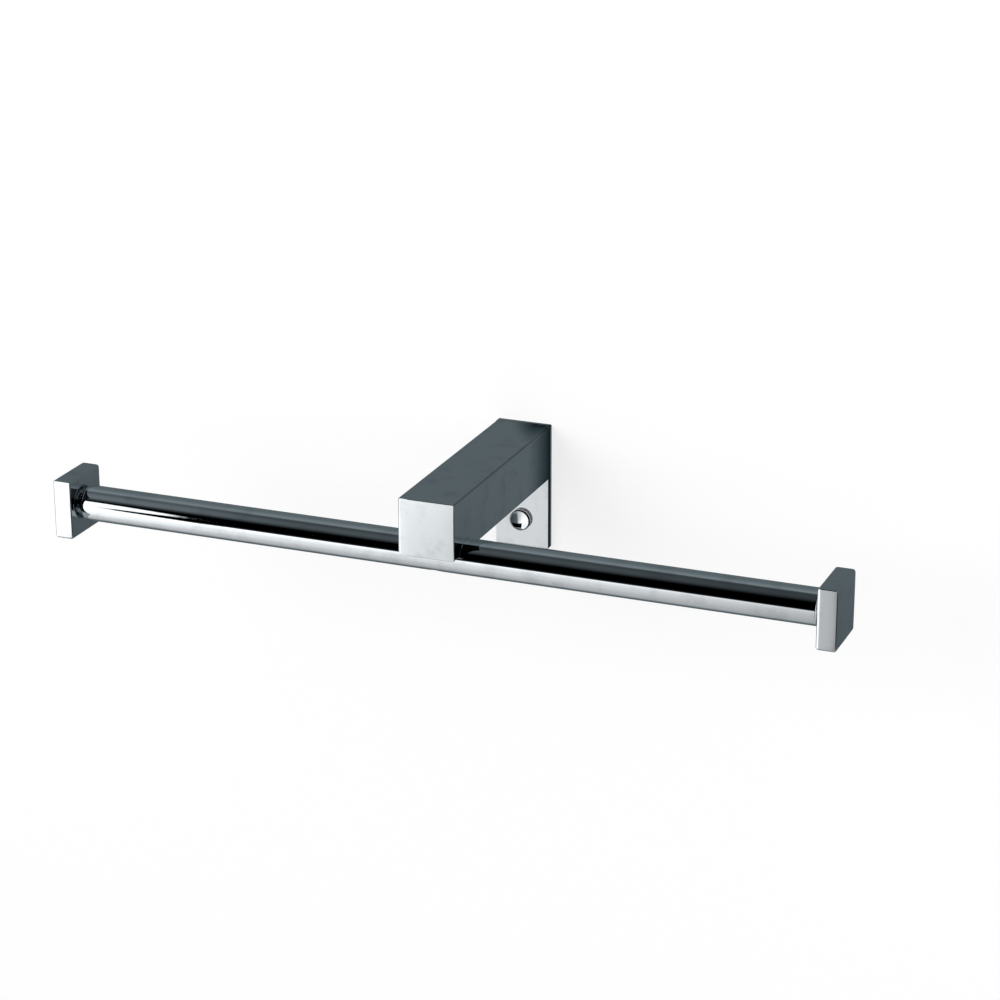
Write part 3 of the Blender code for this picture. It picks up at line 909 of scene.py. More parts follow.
def chrome_material(name, color, roughness, stretch, node=None, dark_edges=0.0, rim_of=None):
    """Bright chrome plate: slow waves, hairlines and faint water marks.

    Given the node of a box-shaped piece, it is a little duller along its edges, and its
    long edges can carry a painted dark line, standing in for the shade that they reflect. A
    round piece can have painted shade round its face and a satin side.
    """
    look = finishes()
    material, bench, shader, place = new_material(name)
    shader.inputs["Metallic"].default_value = 1.0
    waves = bench.group(effect("Polishing waves"), place=place, length=look.wave_length)
    lines = bench.group(effect("Hairlines"), place=place, stretch=stretch,
                        spacing=look.hairline_spacing)
    marks = bench.group(effect("Water marks"), place=place, size=look.mark_size)
    clouded = tuple(share * (1 - look.bloom) for share in color)
    shown = bench.blend(marks["Film"], color, clouded)
    rough = bench.between(marks["Film"], 0.0, 1.0, roughness, roughness * look.bloom_roughness)
    rough = bench.math("MULTIPLY_ADD", marks["Drops"], look.drop_roughness, rough)
    rough = bench.math("MULTIPLY_ADD", lines["Mask"], look.hairline_roughness, rough)
    if node:
        half_size = Vector(half_spans(node))
        edge = bench.group(effect("Edge polish and painted shade"), place=place, middle=middle_of(node),
                           half_size=half_size, width=look.edge_width)
        rough = bench.math("MULTIPLY_ADD", edge["Mask"], look.edge_roughness, rough)
    if dark_edges:
        # Measured in a much longer box, so that only the edges along Y count.
        edge = bench.group(effect("Edge polish and painted shade"), place=place, middle=middle_of(node),
                           half_size=half_size + Y_AXIS, width=look.painted_edge_shade_width)
        # Painted shade: the long edges are darkened towards black, in place of the shade that they
        # reflect.
        shown = bench.blend(bench.product(edge["Mask"], dark_edges), shown, BLACK)
    if rim_of:
        rim = bench.group(effect("Painted rim shade"), place=place,
                          middle=middle_of(rim_of) - X_AXIS * sizes().cap_shift,
                          radius=half_spans(rim_of)[0], width=sizes().cap_edge)
        # Painted shade: the rim round the cap's face is darkened towards black, in place of the shade
        # in its crease.
        shown = bench.blend(bench.product(rim["Mask"], look.painted_rim_shade), shown, BLACK)
        shown = bench.blend(rim["Side"], shown, look.side_color)
        rough = bench.math("MULTIPLY_ADD", rim["Side"], look.side_roughness, rough)
        bench.feed(shader.inputs["Metallic"],
                   bench.math("MULTIPLY_ADD", rim["Side"], -look.side_haze, 1.0))
    bench.feed(shader.inputs["Base Color"], shown)
    bench.feed(shader.inputs["Roughness"], rough)
    wavy = bench.bump(waves["Height"], look.wave_height)
    bench.feed(shader.inputs["Normal"], bench.bump(lines["Height"], look.hairline_height, wavy))
    return material


def chrome_on(node):
    """Name of the chrome of a box-shaped piece."""
    return "Polished chrome, " + node.replace("_", " ")


def turned_metal(name, color, mark_color, stretch, spacing, depth):
    """Bare metal with turning or drawing marks and faint stains."""
    in_lines, in_stains = 0.5, 0.3
    look = finishes()
    rough = look.bare_roughness
    material, bench, shader, place = new_material(name)
    lines = bench.group(effect("Hairlines"), place=place, stretch=stretch, spacing=spacing)
    stains = bench.group(effect("Water marks"), place=place, size=look.bare_mark_size)
    marked = bench.math("MULTIPLY_ADD", lines["Mask"], in_lines,
                        bench.product(stains["Film"], in_stains), clamp=True)
    bench.feed(shader.inputs["Base Color"], bench.blend(marked, color, mark_color))
    bench.feed(shader.inputs["Roughness"], bench.math("MULTIPLY_ADD", marked, rough / 2, rough))
    shader.inputs["Metallic"].default_value = 1.0
    bench.feed(shader.inputs["Normal"], bench.bump(lines["Height"], depth))
    return material


def zinc_material():
    """Die-cast zinc: a fine grain, pits and flow lines."""
    grains_per_metre, pits_per_metre = 5200.0, 1900.0
    deepest_pits, strongest_flow = (0.62, 0.72), (0.45, 0.75)
    in_flow, in_pits = 0.4, 0.6
    flat_grain, raised_grain = 0.3, 0.7
    smoothest, roughest = 0.38, 0.58
    look = finishes()
    material, bench, shader, place = new_material(ZINC)
    flow = bench.group(effect("Polishing waves"), place=place, length=look.zinc_flow)
    grain = bench.noise(place, grains_per_metre, detail=3.0, roughness=0.7)
    pits = bench.between(bench.noise(place, pits_per_metre, detail=2.0), *deepest_pits)
    shade = bench.math("MULTIPLY_ADD", bench.between(flow["Height"], *strongest_flow), in_flow,
                       bench.product(pits, in_pits), clamp=True)
    bench.feed(shader.inputs["Base Color"], bench.blend(shade, look.zinc_color, look.zinc_dark))
    bench.feed(shader.inputs["Roughness"],
               bench.between(grain, flat_grain, raised_grain, smoothest, roughest))
    shader.inputs["Metallic"].default_value = 1.0
    height = bench.math("SUBTRACT", bench.math("DIVIDE", grain, 2.0), pits)
    bench.feed(shader.inputs["Normal"], bench.bump(height, look.zinc_depth))
    return material


def nylon_material():
    """White nylon, slightly translucent, with moulding flow marks."""
    grains_per_metre = 9000.0
    duller_flow = (0.4, 0.75)
    smoothest, roughest = 0.42, 0.56
    translucent = 0.15
    look = finishes()
    material, bench, shader, place = new_material(NYLON)
    flow = bench.group(effect("Polishing waves"), place=place, length=look.nylon_flow)
    marks = bench.group(effect("Water marks"), place=place, size=look.nylon_mark_size)
    shade = bench.between(flow["Height"], *duller_flow)
    bench.feed(shader.inputs["Base Color"], bench.blend(shade, look.nylon_color, look.nylon_shade))
    bench.feed(shader.inputs["Roughness"],
               bench.between(marks["Film"], 0.0, 1.0, smoothest, roughest))
    shader.inputs["Subsurface Weight"].default_value = translucent
    shader.inputs["Subsurface Scale"].default_value = look.nylon_reach
    fine = bench.noise(place, grains_per_metre, detail=2.0)
    bench.feed(shader.inputs["Normal"], bench.bump(fine, look.nylon_depth))
    return material


class FinishOperator(Operator):
    """Make the metals and the plastic that the pieces are finished in"""

    bl_idname = "roll_holder.make_finishes"
    bl_label = "Finishes"

    def execute(self, context):
        look = finishes()
        rough = look.chrome_roughness
        along_bar = (0.02, 1.0, 1.0)
        round_bar = (1.0, 0.03, 0.03)
        upright = (1.0, 1.0, 0.03)
        all_ways = (1.0, 1.0, 1.0)
        chrome_material(chrome_on("arm"), look.chrome_color, rough, upright, "arm", look.painted_edge_shade)
        for node in ("end_block_left", "end_block_right"):
            chrome_material(chrome_on(node), look.chrome_color, rough, upright, node)
        chrome_material(chrome_on("wall_plate"), look.plate_color, rough, upright, "wall_plate")
        chrome_material(CHROME_BAR, look.tube_color, look.tube_roughness, along_bar)
        chrome_material(CHROME_TURNED, look.chrome_color, rough, round_bar)
        chrome_material(CHROME_PRESSED, look.chrome_color, look.tube_roughness, all_ways,
                        rim_of="screw_cap")
        turned_metal(BRASS, look.brass_color, look.brass_tarnish, round_bar,
                     look.brass_line_spacing, look.brass_line_height)
        turned_metal(STEEL, look.steel_color, look.steel_dark, upright,
                     look.steel_line_spacing, look.steel_line_height)
        zinc_material()
        nylon_material()
        return {"FINISHED"}


class WallPlateOperator(Operator):
    """Make the wall plate with its two wall holes and its countersinks at the back"""

    bl_idname = "roll_holder.make_wall_plate"
    bl_label = "Wall plate"

    def execute(self, context):
        size = sizes()
        low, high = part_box("wall_plate")
        shape = box_shape(low, high)
        round_edges(shape, edges_along(shape, Y_AXIS), size.plate_corner, size.edge_steps)
        round_edges(shape, face_edges(shape, -Y_AXIS), size.plate_edge, size.edge_steps)
        plate = shape_object("wall_plate_finished", shape)
        thickness = high.y - low.y
        cutters = []
        for node in ("spigot", "screw_cap"):
            place = Vector((0, (low.y + high.y) / 2, middle_of(node).z))
            cutters.append(through_drill("wall_hole_" + node, place, Y_AXIS, size.wall_hole,
                                         thickness, size.hole_break, size.small_steps))
        for node in ("spigot_screw_upper", "spigot_screw_lower"):
            place = middle_of(node)
            place.y = high.y
            head = half_spans(node)[0]
            cutters.append(countersink("seat_" + node, place, Y_AXIS, head + 2 * size.seam,
                                       size.small_shank + 2 * size.seam, thickness + OVERRUN))
        carve(plate, cutters)
        finish_piece(plate, chrome_on("wall_plate"), ["wall_plate"])
        return {"FINISHED"}


class ArmOperator(Operator):
    """Make the square arm, cored from the back and cut round for the bar below"""

    bl_idname = "roll_holder.make_arm"
    bl_label = "Arm"

    def execute(self, context):
        size = sizes()
        low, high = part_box("arm")
        high.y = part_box("wall_plate")[0].y - size.seam
        shape = grid_box(low, high)
        radii = dict.fromkeys(edges_along(shape, Y_AXIS), size.arm_edge)
        radii.update(dict.fromkeys(face_edges(shape, -Y_AXIS), size.arm_front_edge))
        radii.update(dict.fromkeys(edges_between(shape, -Y_AXIS, -X_AXIS), size.arm_left_edge))
        shape = soften(shape, radii, size.edge_steps)
        crown_face(shape, -Y_AXIS, size.crown, size.crown_power)
        arm = shape_object("arm_finished", shape)

        bar_middle = middle_of("bar")
        saddle = half_spans("bar")[2] + size.seam
        cutters = [through_drill("saddle", bar_middle, X_AXIS, saddle, high.x - low.x,
                                 size.saddle_break, size.bar_steps)]

        wall = Vector((size.arm_wall, 0, size.arm_wall))
        inside_low = low + wall
        inside_low.y = bar_middle.y + saddle + size.saddle_wall
        inside_high = high - wall
        inside_high.y += OVERRUN
        core = box_shape(inside_low, inside_high)
        round_edges(core, edges_along(core, Y_AXIS), size.arm_edge, size.edge_steps)
        cutters.append(shape_object("core", core))

        mouth = middle_of("grub_screw")
        mouth.z = low.z
        grub = half_spans("grub_screw")[0]
        cutters.append(drill("grub_hole", mouth, -Z_AXIS, grub + size.seam,
                             size.arm_wall + OVERRUN, size.hole_break))
        carve(arm, cutters)
        finish_piece(arm, chrome_on("arm"), ["arm"])
        return {"FINISHED"}


class BarOperator(Operator):
    """Make the tube with its rolled rims and the counterbored hole below"""

    bl_idname = "roll_holder.make_bar"
    bl_label = "Bar"

    def execute(self, context):
        size = sizes()
        middle = middle_of("bar")
        end, _, radius = half_spans("bar")
        bore = radius - size.bar_wall
        rim = size.bar_rim
        upper = arc_points(radius - rim, end - rim, rim, 90, 0, size.edge_steps)
        lower = arc_points(radius - rim, rim - end, rim, 0, -90, size.edge_steps)
        beside_hole = [(radius, radius), (radius, -radius)]
        inner = [(bore, -end), (bore, end)]
        bar = turned("bar_finished", upper + beside_hole + lower + inner, True, middle, X_AXIS,
                     size.bar_steps)
        mouth = middle_of("bar")
        mouth.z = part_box("bar")[0].z
        head = half_spans("bar_screw")[0]
        carve(bar, [drill("bar_screw_hole", mouth, -Z_AXIS, head + 2 * size.seam, radius,
                          size.hole_break)])
        finish_piece(bar, CHROME_BAR, ["bar"])
        return {"FINISHED"}


class PlugsOperator(Operator):
    """Make the turned plugs whose necks show between the bar and the end blocks"""

    bl_idname = "roll_holder.make_plugs"
    bl_label = "End plugs"

    def execute(self, context):
        size = sizes()
        neck = size.neck_radius
        fillet = size.neck_fillet
        for side, sign in SIDES:
            node = "end_plug_" + side
            middle = middle_of(node)
            half, _, radius = half_spans(node)
            shoulder = half_spans("bar")[0] - abs(middle.x)
            points = [(0, half)]
            points += arc_points(neck - fillet, half - fillet, fillet, 90, 0, size.edge_steps)
            points += arc_points(neck + fillet, shoulder + fillet, fillet, 180, 270,
                                 size.edge_steps)
            points += [(radius, shoulder), (radius, fillet - half), (radius - fillet, -half),
                       (0, -half)]
            plug = turned(node + "_finished", points, False, middle, sign * X_AXIS, size.small_steps)
            finish_piece(plug, CHROME_TURNED, [node])
        return {"FINISHED"}


class BlocksOperator(Operator):
    """Make the two square end blocks that keep the rolls on"""

    bl_idname = "roll_holder.make_blocks"
    bl_label = "End blocks"

    def execute(self, context):
        size = sizes()
        for side, sign in SIDES:
            node = "end_block_" + side
            low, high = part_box(node)
            shape = grid_box(low, high)
            radii = dict.fromkeys(corner_edges(shape), size.block_edge)
            for way in (X_AXIS, Z_AXIS):
                crisp = edges_between(shape, -Y_AXIS, way)
                radii.update(dict.fromkeys(crisp, size.block_front_edge))
            shape = soften(shape, radii, size.edge_steps)
            for direction in (-Y_AXIS, Y_AXIS, -Z_AXIS, Z_AXIS, sign * X_AXIS):
                crown_face(shape, direction, size.block_crown)
            block = shape_object(node + "_finished", shape)
            stud_low, stud_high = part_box("end_stud_" + side)
            stud = half_spans("end_stud_" + side)[2]
            inner_face = min(abs(low.x), abs(high.x))
            depth = max(abs(stud_low.x), abs(stud_high.x)) - inner_face + size.seam
            mouth = middle_of(node)
            mouth.x = sign * inner_face
            carve(block, [drill("thread", mouth, -sign * X_AXIS, stud + size.seam, depth,
                                size.hole_break)])
            finish_piece(block, chrome_on(node), [node])
        return {"FINISHED"}


class CapOperator(Operator):
    """Make the pressed cap with its rounded edge and the dish in its face"""

    bl_idname = "roll_holder.make_cap"
    bl_label = "Screw cap"

    def execute(self, context):
        size = sizes()
        radius = half_spans("screw_cap")[0]
        height = size.cap_height
        steps = size.edge_steps
        edge, dish = size.cap_edge, size.cap_dish
        dish_radius = radius - edge
        sphere = (dish_radius * dish_radius + dish * dish) / (2 * dish)
        spread = math.degrees(math.asin(dish_radius / sphere))
        floor = height - dish

        # Down the outer side: the dish, the rounded edge and the rim on the plate.
        points = arc_points(0, floor + sphere, sphere, -90, spread - 90, 3 * steps)
        points[0] = (0, floor)
        points += arc_points(dish_radius, height - edge, edge, 90, 0, 2 * steps)[1:]

        # Up the inner side: over the cup washer, and on to the underside of the dish.
        cup_radius, half_cup, _ = half_spans("screw_cup")
        shoulder = 2 * half_cup + size.seam
        inner = cup_radius + size.cap_shift + size.seam
        points += [(radius, 0), (inner, 0), (inner, shoulder), (dish_radius - edge, shoulder),
                   (0, floor - size.cap_sheet)]

        place = middle_of("screw_cap") - X_AXIS * size.cap_shift
        place.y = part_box("screw_cap")[1].y
        cap = turned("screw_cap_finished", points, False, place, -Y_AXIS, 2 * size.small_steps)
        finish_piece(cap, CHROME_PRESSED, ["screw_cap"])
        return {"FINISHED"}


def countersunk_screw(node, shank, length, place, direction, key):
    """A countersunk screw with a key socket, its head face at the place."""
    size = sizes()
    head = half_spans(node)[0]
    points = [
        (0, 0),
        (head - size.screw_break, 0),
        (head, -size.screw_break),
        (shank, shank - head),
        (shank, size.screw_tip - length),
        (shank - size.screw_tip, -length),
        (0, -length),
    ]
    screw = turned(node + "_finished", points, False, place, direction, size.small_steps)
    carve(screw, [hex_rod("socket", place + direction * OVERRUN,
                          place - direction * size.key_depth, key)])
    finish_piece(screw, STEEL, [node])


class ScrewsOperator(Operator):
    """Make the screw under the bar, the grub screw and the two spigot screws"""

    bl_idname = "roll_holder.make_screws"
    bl_label = "Screws"

    def execute(self, context):
        size = sizes()
        low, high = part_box("bar_screw")
        place = middle_of("bar_screw")
        place.z = low.z
        countersunk_screw("bar_screw", size.bar_screw_shank, high.z - low.z, place, -Z_AXIS,
                          size.bar_screw_key)
        for node in ("spigot_screw_upper", "spigot_screw_lower"):
            low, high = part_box(node)
            place = middle_of(node)
            place.y = high.y
            countersunk_screw(node, size.small_shank, high.y - low.y, place, Y_AXIS, size.small_key)
        radius, _, half = half_spans("grub_screw")
        length = 2 * half
        cone = radius / 2
        points = [
            (0, length),
            (radius - cone, length),
            (radius, length - cone),
            (radius, size.screw_break),
            (radius - size.screw_break, 0),
            (0, 0),
        ]
        place = middle_of("grub_screw")
        place.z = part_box("grub_screw")[0].z
        grub = turned("grub_screw_finished", points, False, place, Z_AXIS, size.small_steps)
        carve(grub, [hex_rod("socket", place - Z_AXIS * OVERRUN, place + Z_AXIS * size.key_depth,
                             size.small_key)])
        finish_piece(grub, STEEL, ["grub_screw"])
        return {"FINISHED"}


class InnerPiecesOperator(Operator):
    """Give the hidden spigot, core, studs and cup washer their finishes"""

    bl_idname = "roll_holder.finish_inner_pieces"
    bl_label = "Inner pieces"

    def execute(self, context):
        worn_by = {
            "spigot": ZINC,
            "bar_core": BRASS,
            "end_stud_left": STEEL,
            "end_stud_right": STEEL,
            "screw_cup": NYLON,
        }
        for node, material in worn_by.items():
            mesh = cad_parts[node].data
            mesh.materials.clear()
            mesh.materials.append(bpy.data.materials[material])
        return {"FINISHED"}


def stage_sheet(name, corners, material):
    """A flat piece of the studio from its four corners."""
    mesh = bpy.data.meshes.new(name)
    mesh.from_pydata(corners, [], [tuple(range(len(corners)))])
    mesh.materials.append(material)
    item = link_object(name, mesh)
    return item


def pale_material(name, grains_per_metre):
    """Matt paint with a faint grain, which looks whiter to the camera than it is.

    With the material go its bench, the place on it, the light path and the painted shader.
    """
    matt, grain_shade = 0.9, 0.985
    stage = studio()
    material, bench, shader, place = new_material(name)
    grain = bench.noise(place, grains_per_metre, detail=3.0)
    shade = tuple(share * grain_shade for share in stage.wall_color)
    bench.feed(shader.inputs["Base Color"], bench.blend(grain, shade, stage.wall_color))
    shader.inputs["Roughness"].default_value = matt
    shader.inputs["Specular IOR Level"].default_value = 0.0
    path = bench.put("ShaderNodeLightPath").outputs
    glow = bench.put("ShaderNodeEmission")
    bench.feed(glow.inputs["Color"], WHITE)
    bench.feed(glow.inputs["Strength"], bench.product(path["Is Camera Ray"], stage.wall_glow))
    whitened = bench.put("ShaderNodeAddShader")
    bench.feed(whitened.inputs[0], shader.outputs[0])
    bench.feed(whitened.inputs[1], glow.outputs[0])
    return material, bench, place, path, whitened.outputs[0]


def seen_from_front(material, bench, front, behind):
    """Give a material one shader on its front and another behind."""
    backfacing = bench.put("ShaderNodeNewGeometry").outputs["Backfacing"]
    output = material.node_tree.nodes["Material Output"]
    bench.feed(output.inputs["Surface"], bench.choose(backfacing, front, behind))


def distance_to_plate(bench, x, z):
    """How far a point of the wall lies from the right-hand part of the plate.

    The painted shade round the plate is measured from there, so that it lies further to the right.
    """
    half_x, _, half_z = half_spans("wall_plate")
    shift = studio().shade_shift
    to_middle = bench.math("ABSOLUTE", bench.math("SUBTRACT", x, shift))
    past_x = bench.math("MAXIMUM", bench.math("SUBTRACT", to_middle, half_x - shift), 0.0)
    past_z = bench.math("MAXIMUM", bench.math("SUBTRACT", bench.math("ABSOLUTE", z), half_z), 0.0)
    return bench.math("SQRT", bench.math("ADD", bench.math("POWER", past_x, 2.0),
                                         bench.math("POWER", past_z, 2.0)))


def wall_in_metal(bench, place):
    """The wall's painted reflection as polished metal sees it: dim, with painted shade round the
    plate.
    """
    lighter_up, lighter_down = (0.05, 0.24), (-0.08, -0.40)
    darker_below = (0.0, -0.045)
    stage = studio()
    x, _, z = bench.parts(place)
    # Painted reflection: a dim wall, darker below the arm and lighter further up and down.
    near = bench.blend(bench.between(z, *darker_below), stage.slate, stage.slate_low)
    further = bench.math("MAXIMUM", bench.between(z, *lighter_up), bench.between(z, *lighter_down))
    wall = bench.blend(further, near, stage.slate_far)
    away = distance_to_plate(bench, x, z)
    # Painted shade round the plate, and a painted black contact shadow in the corner at it.
    shaded = bench.blend(bench.between(away, 0.0, stage.shade_reach), stage.shade, wall)
    corner = bench.between(away, stage.corner_reach / 2, stage.corner_reach)
    return bench.blend(corner, BLACK, shaded)


def wall_material():
    """White wall that lets the camera look through from behind, and shows polished metal a painted
    dim reflection.

    Metal that all but touches it, as the plate's back does, sees through it as well.
    """
    grains_per_metre, touching_gaps = 900.0, 10
    material, bench, place, path, painted = pale_material("White wall", grains_per_metre)
    open_side = bench.put("ShaderNodeBsdfTransparent").outputs[0]
    # Painted reflection: an emission that only glossy rays see.
    dim = bench.put("ShaderNodeEmission")
    bench.feed(dim.inputs["Color"], wall_in_metal(bench, place))
    touching = bench.math("LESS_THAN", path["Ray Length"], touching_gaps * studio().wall_gap)
    in_metal = bench.choose(touching, dim.outputs[0], open_side)
    front = bench.choose(path["Is Glossy Ray"], painted, in_metal)
    seen_from_front(material, bench, front, open_side)
    return material


def floor_material():
    """Pale floor that lets the camera look through from below."""
    grains_per_metre = 600.0
    material, bench, _, _, painted = pale_material("Pale floor", grains_per_metre)
    open_side = bench.put("ShaderNodeBsdfTransparent").outputs[0]
    seen_from_front(material, bench, painted, open_side)
    return material


# The room as polished metal sees it, going round the bar: 0 looks out level into the
# room, 90 straight up, -90 straight down and 180 level at the wall. Each entry is an
# angle in degrees and a brightness.
ROOM_ROUND = [
    (-180, 0.15), (-140, 0.16), (-121, 0.19), (-106, 0.40), (-94, 0.48), (-74, 0.54),
    (-43, 0.63), (-30, 0.685), (-22, 0.70), (-17, 0.80), (-8.5, 0.82), (-7, 0.40),
    (-6, 0.06), (-5, 0.008), (-3, 0.0), (-1, 0.004), (6, 0.0), (42, 0.0), (48, 0.010),
    (54, 0.026), (59, 0.038), (66, 0.051), (77, 0.056), (84, 0.050), (90, 0.055),
    (96, 0.073), (101, 0.15), (106, 0.216), (112, 0.24), (125, 0.20), (142, 0.15),
    (180, 0.15),
]
# Brightness that the room gains further to the left.
LEFT_ROUND = [
    (-180, 0.0), (-100, 0.0), (-90, 0.03), (-80, 0.12), (-71, 0.12), (-62, 0.18),
    (-54, 0.25), (-47, 0.33), (-33, 0.34), (-26, 0.47), (-18, 0.50), (-8.5, 0.78),
    (-6.5, 0.1), (-5.5, 0.0), (-4, 0.0), (-3, 0.03), (-1.5, 0.03), (0, 0.0), (38, 0.0),
    (45, 0.018), (51, 0.036), (58, 0.052), (66, 0.052), (76, 0.042), (86, 0.027),
    (94, 0.0), (180, 0.0),
]
# How much of that gain there is, by how far left the metal looks: x plus 1.
GAIN_BY_X = [
    (0.20, 2.2), (0.52, 2.2), (0.55, 1.65), (0.57, 1.25), (0.60, 1.0), (0.63, 0.86),
    (0.66, 0.74), (0.69, 0.55), (0.72, 0.26), (0.75, 0.0),
]
# How much of the room is left towards its right, but for its lowest part, by half of x
# plus a half.
DIM_BY_X = [
    (0.30, 1.0), (0.38, 1.0), (0.41, 0.22), (0.50, 0.17), (0.58, 0.11), (0.66, 0.04),
    (0.74, 0.0),
]
# How much further left the edge of the bright window lies, by the angle round the bar.
WINDOW_ROUND = [
    (-180, 0.3), (-45, 0.3), (-36, 0.08), (-27, 0.012), (-22, 0.0), (-16, 0.0), (-12, 0.022),
    (-7, 0.040), (-3, 0.044), (1, 0.042), (5, 0.028), (9, 0.022), (17, 0.022), (23, 0.033),
    (27, 0.044), (31, 0.10), (40, 0.3), (180, 0.3),
]
# Where other things in the room begin and where they are in full view. A reach is a pair
# of x, from -1 at the left to 1 at the right. A rise or a fall is a pair of angles. The
# room turns a little further to the left, and late is where it turns further still.
WINDOW_REACH = (-0.422, -0.432)
WINDOW_LIGHT = 1.5
DIM_RISE = (-62.0, -40.0)
LATE_REACH, LATE_RISE, LATE_FALL = (-0.430, -0.455), (-21.0, -17.0), (30.0, 5.0)
LATE_DEGREES = 6.0
SKEW_START, SKEW_REACH, SKEW_DEGREES = -0.25, 0.25, 20.0
CEILING_REACH, CEILING_RISE, CEILING_FALL = (-0.415, -0.45), (44.0, 56.0), (98.0, 90.0)
CEILING_LIGHT = 0.04
LAMP_REACH, LAMP_RISE, LAMP_FALL = (0.45, 0.75), (25.0, 45.0), (120.0, 95.0)
LAMP_LIGHT = 0.8
# What metal sees far to its left and right: a reach, a pair of z and the brightness at each.
LEFT_REACH, LEFT_HEIGHTS, LEFT_LIGHTS = (-0.55, -0.80), (-0.45, 0.75), (1.6, 0.40)
RIGHT_REACH, RIGHT_HEIGHTS, RIGHT_LIGHTS = (0.60, 0.90), (-0.80, -0.45), (0.50, 0.05)
# Dim metal has a cool cast, which is gone where the room is bright.
COOL_CAST = (0.86, 1.03, 1.11)
COOL_UNTIL = (0.10, 0.60)


def ramp_of(bench, value, stops):
    """A number that follows another, from 0 to 1, through (share, number) stops."""
    node = bench.put("ShaderNodeValToRGB")
    ramp = node.color_ramp
    ramp.interpolation = "LINEAR"
    while len(ramp.elements) > 1:
        ramp.elements.remove(ramp.elements[-1])
    for i, (share, level) in enumerate(stops):
        stop = ramp.elements[0] if i == 0 else ramp.elements.new(share)
        stop.position = share
        stop.color = (level, level, level, 1.0)
    bench.feed(node.inputs["Fac"], value)
    return node.outputs["Color"]


def ring_ramp(bench, turn, stops):
    """A number that follows an angle from -180 to 180 degrees, given as 0 to 1."""
    return ramp_of(bench, turn, [((angle + 180) / 360, level) for angle, level in stops])


def patch_of_room(bench, x, reach, degrees, rise, fall):
    """A soft-edged patch of the room: a reach of x, between two angles round the bar."""
    return bench.product(bench.between(x, *reach), bench.between(degrees, *rise),
                         bench.between(degrees, *fall))


def room_brightness(bench, x, y, z):
    """How bright the room looks in polished metal, by direction."""
    turn = bench.math("ARCTAN2", z, bench.product(y, -1.0))
    turn = bench.math("MULTIPLY_ADD", turn, 1 / FULL_TURN, 0.5)
    degrees = bench.math("MULTIPLY_ADD", turn, 360.0, -180.0)

    leftward = bench.math("MAXIMUM", bench.math("SUBTRACT", SKEW_START, x), 0.0)
    leftward = bench.math("MINIMUM", leftward, SKEW_REACH)
    skewed = bench.math("MULTIPLY_ADD", leftward, SKEW_DEGREES / 360, turn)
    late = patch_of_room(bench, x, LATE_REACH, degrees, LATE_RISE, LATE_FALL)
    skewed = bench.math("MULTIPLY_ADD", late, LATE_DEGREES / 360, skewed)

    dim = ramp_of(bench, bench.math("MULTIPLY_ADD", x, 0.5, 0.5), DIM_BY_X)
    left_over = bench.weigh(bench.between(degrees, *DIM_RISE), 1.0, dim)
    room = bench.product(ring_ramp(bench, skewed, ROOM_ROUND), left_over)
    gain = ramp_of(bench, bench.math("ADD", x, 1.0), GAIN_BY_X)
    left = bench.product(ring_ramp(bench, skewed, LEFT_ROUND), gain)
    level = bench.math("ADD", room, left)

    ceiling = patch_of_room(bench, x, CEILING_REACH, degrees, CEILING_RISE, CEILING_FALL)
    level = bench.math("MULTIPLY_ADD", ceiling, CEILING_LIGHT, level)
    edge = bench.math("ADD", x, ring_ramp(bench, turn, WINDOW_ROUND))
    window = bench.product(bench.between(edge, *WINDOW_REACH), WINDOW_LIGHT)
    level = bench.math("MAXIMUM", level, window)
    lamp = patch_of_room(bench, x, LAMP_REACH, degrees, LAMP_RISE, LAMP_FALL)
    level = bench.math("MAXIMUM", level, bench.product(lamp, LAMP_LIGHT))

    level = bench.weigh(bench.between(x, *LEFT_REACH), level,
                        bench.between(z, *LEFT_HEIGHTS, *LEFT_LIGHTS))
    return bench.weigh(bench.between(x, *RIGHT_REACH), level,
                       bench.between(z, *RIGHT_HEIGHTS, *RIGHT_LIGHTS))


def build_room():
    """White to the camera, even light on matt things, and the room's lights and darks in metal."""
    stage = studio()
    world = bpy.data.worlds.new("Studio room")
    world.use_nodes = True
    world.cycles.sampling_method = "NONE"
    bpy.context.scene.world = world
    bench = NodeBench(world.node_tree)
    way = bench.put("ShaderNodeTexCoord").outputs["Generated"]
    level = room_brightness(bench, *bench.parts(way))
    tint = bench.blend(bench.between(level, *COOL_UNTIL), COOL_CAST, WHITE)
    seen = bench.put("ShaderNodeVectorMath", operation="SCALE")
    bench.feed(seen.inputs["Vector"], tint)
    bench.feed(seen.inputs["Scale"], level)
    path = bench.put("ShaderNodeLightPath").outputs
    even = (stage.fill_strength, stage.fill_strength, stage.fill_strength)
    by_metal = bench.blend(path["Is Glossy Ray"], even, seen.outputs["Vector"])
    by_camera = bench.blend(path["Is Camera Ray"], by_metal, WHITE)
    bench.feed(world.node_tree.nodes["Background"].inputs["Color"], by_camera)


def add_key_light():
    """A soft sun that metal doesn't mirror."""
    stage = studio()
    key = bpy.data.lights.new("Key", "SUN")
    key.energy = stage.key_strength
    key.angle = stage.key_spread
    lamp = bpy.data.objects.new("Key", key)
    lamp.rotation_mode = "QUATERNION"
    lamp.rotation_quaternion = Vector(stage.key_direction).to_track_quat("-Z", "Y")
    lamp.visible_glossy = False
    bpy.context.scene.collection.objects.link(lamp)


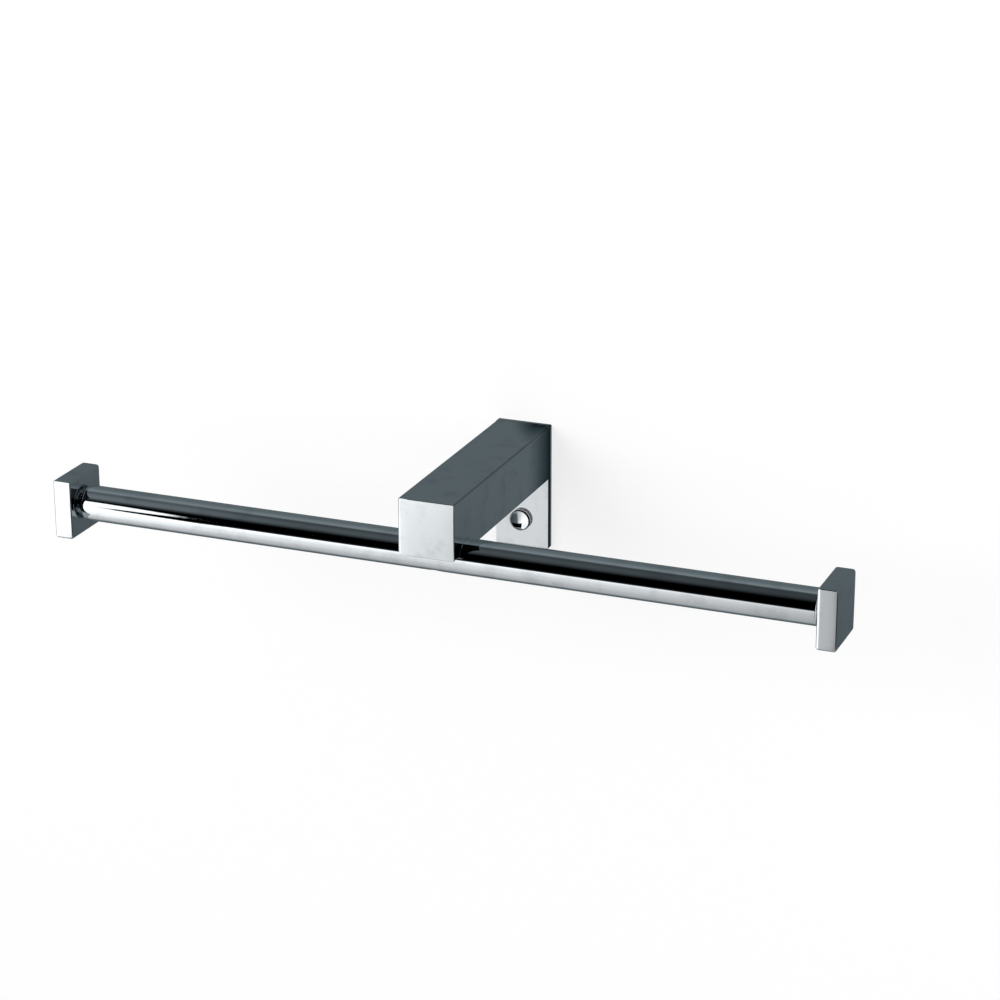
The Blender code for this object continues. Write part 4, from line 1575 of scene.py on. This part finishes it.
class StageOperator(Operator):
    """Make the white wall, the pale floor, the soft light and the room around them"""

    bl_idname = "roll_holder.make_stage"
    bl_label = "Stage"

    def execute(self, context):
        stage = studio()
        side, top, foot = stage.wall_half_width, stage.wall_top, -stage.floor_drop
        back, front = stage.wall_gap, -stage.floor_depth
        wall = [(-side, back, foot), (side, back, foot), (side, back, top), (-side, back, top)]
        stage_sheet("studio_wall", wall, wall_material())
        floor = [(-side, front, foot), (side, front, foot), (side, back, foot), (-side, back, foot)]
        stage_sheet("studio_floor", floor, floor_material()).visible_glossy = False
        add_key_light()
        build_room()
        bpy.context.scene.view_settings.view_transform = "Standard"
        return {"FINISHED"}


class CameraOperator(Operator):
    """Place the camera at the angle of the photograph"""

    bl_idname = "roll_holder.place_camera"
    bl_label = "Camera"

    def execute(self, context):
        stage = studio()
        data = bpy.data.cameras.new("Camera")
        data.lens = stage.lens
        data.sensor_width = stage.sensor
        camera = bpy.data.objects.new("Camera", data)
        turn = Matrix.Rotation(stage.camera_yaw, 4, "Z")
        tilt = Matrix.Rotation(math.pi / 2 - stage.camera_pitch, 4, "X")
        roll = Matrix.Rotation(stage.camera_roll, 4, "Z")
        camera.matrix_world = Matrix.Translation(stage.camera_place) @ turn @ tilt @ roll
        bpy.context.scene.collection.objects.link(camera)
        bpy.context.scene.camera = camera
        return {"FINISHED"}


class HolderPanel(Panel):
    """Lists the steps in their order, and the sizes and colours that they use"""

    bl_idname = "VIEW3D_PT_roll_holder"
    bl_label = "Double Toilet Roll Holder"
    bl_space_type = "VIEW_3D"
    bl_region_type = "UI"
    bl_category = "Roll Holder"

    def draw(self, context):
        column = self.layout.column()
        for step in STEPS:
            column.operator(step.bl_idname)
        for group in (sizes(), finishes(), studio()):
            box = self.layout.box()
            for name in group.bl_rna.properties.keys():
                if name not in ("rna_type", "name"):
                    box.prop(group, name)


STEPS = (
    CameraOperator,
    FinishOperator,
    WallPlateOperator,
    ArmOperator,
    BarOperator,
    PlugsOperator,
    BlocksOperator,
    CapOperator,
    ScrewsOperator,
    InnerPiecesOperator,
    StageOperator,
)
CLASSES = (HolderSizes, HolderFinishes, StudioSettings, *STEPS, HolderPanel)


def register():
    for cls in CLASSES:
        bpy.utils.register_class(cls)
    bpy.types.Scene.roll_holder_sizes = bpy.props.PointerProperty(type=HolderSizes)
    bpy.types.Scene.roll_holder_finishes = bpy.props.PointerProperty(type=HolderFinishes)
    bpy.types.Scene.roll_holder_studio = bpy.props.PointerProperty(type=StudioSettings)


def unregister():
    del bpy.types.Scene.roll_holder_studio
    del bpy.types.Scene.roll_holder_finishes
    del bpy.types.Scene.roll_holder_sizes
    for cls in reversed(CLASSES):
        bpy.utils.unregister_class(cls)


def main():
    register()
    bpy.ops.roll_holder.place_camera()
    bpy.ops.roll_holder.make_finishes()
    bpy.ops.roll_holder.make_wall_plate()
    bpy.ops.roll_holder.make_arm()
    bpy.ops.roll_holder.make_bar()
    bpy.ops.roll_holder.make_plugs()
    bpy.ops.roll_holder.make_blocks()
    bpy.ops.roll_holder.make_cap()
    bpy.ops.roll_holder.make_screws()
    bpy.ops.roll_holder.finish_inner_pieces()
    bpy.ops.roll_holder.make_stage()


if __name__ == "__main__":
    main()
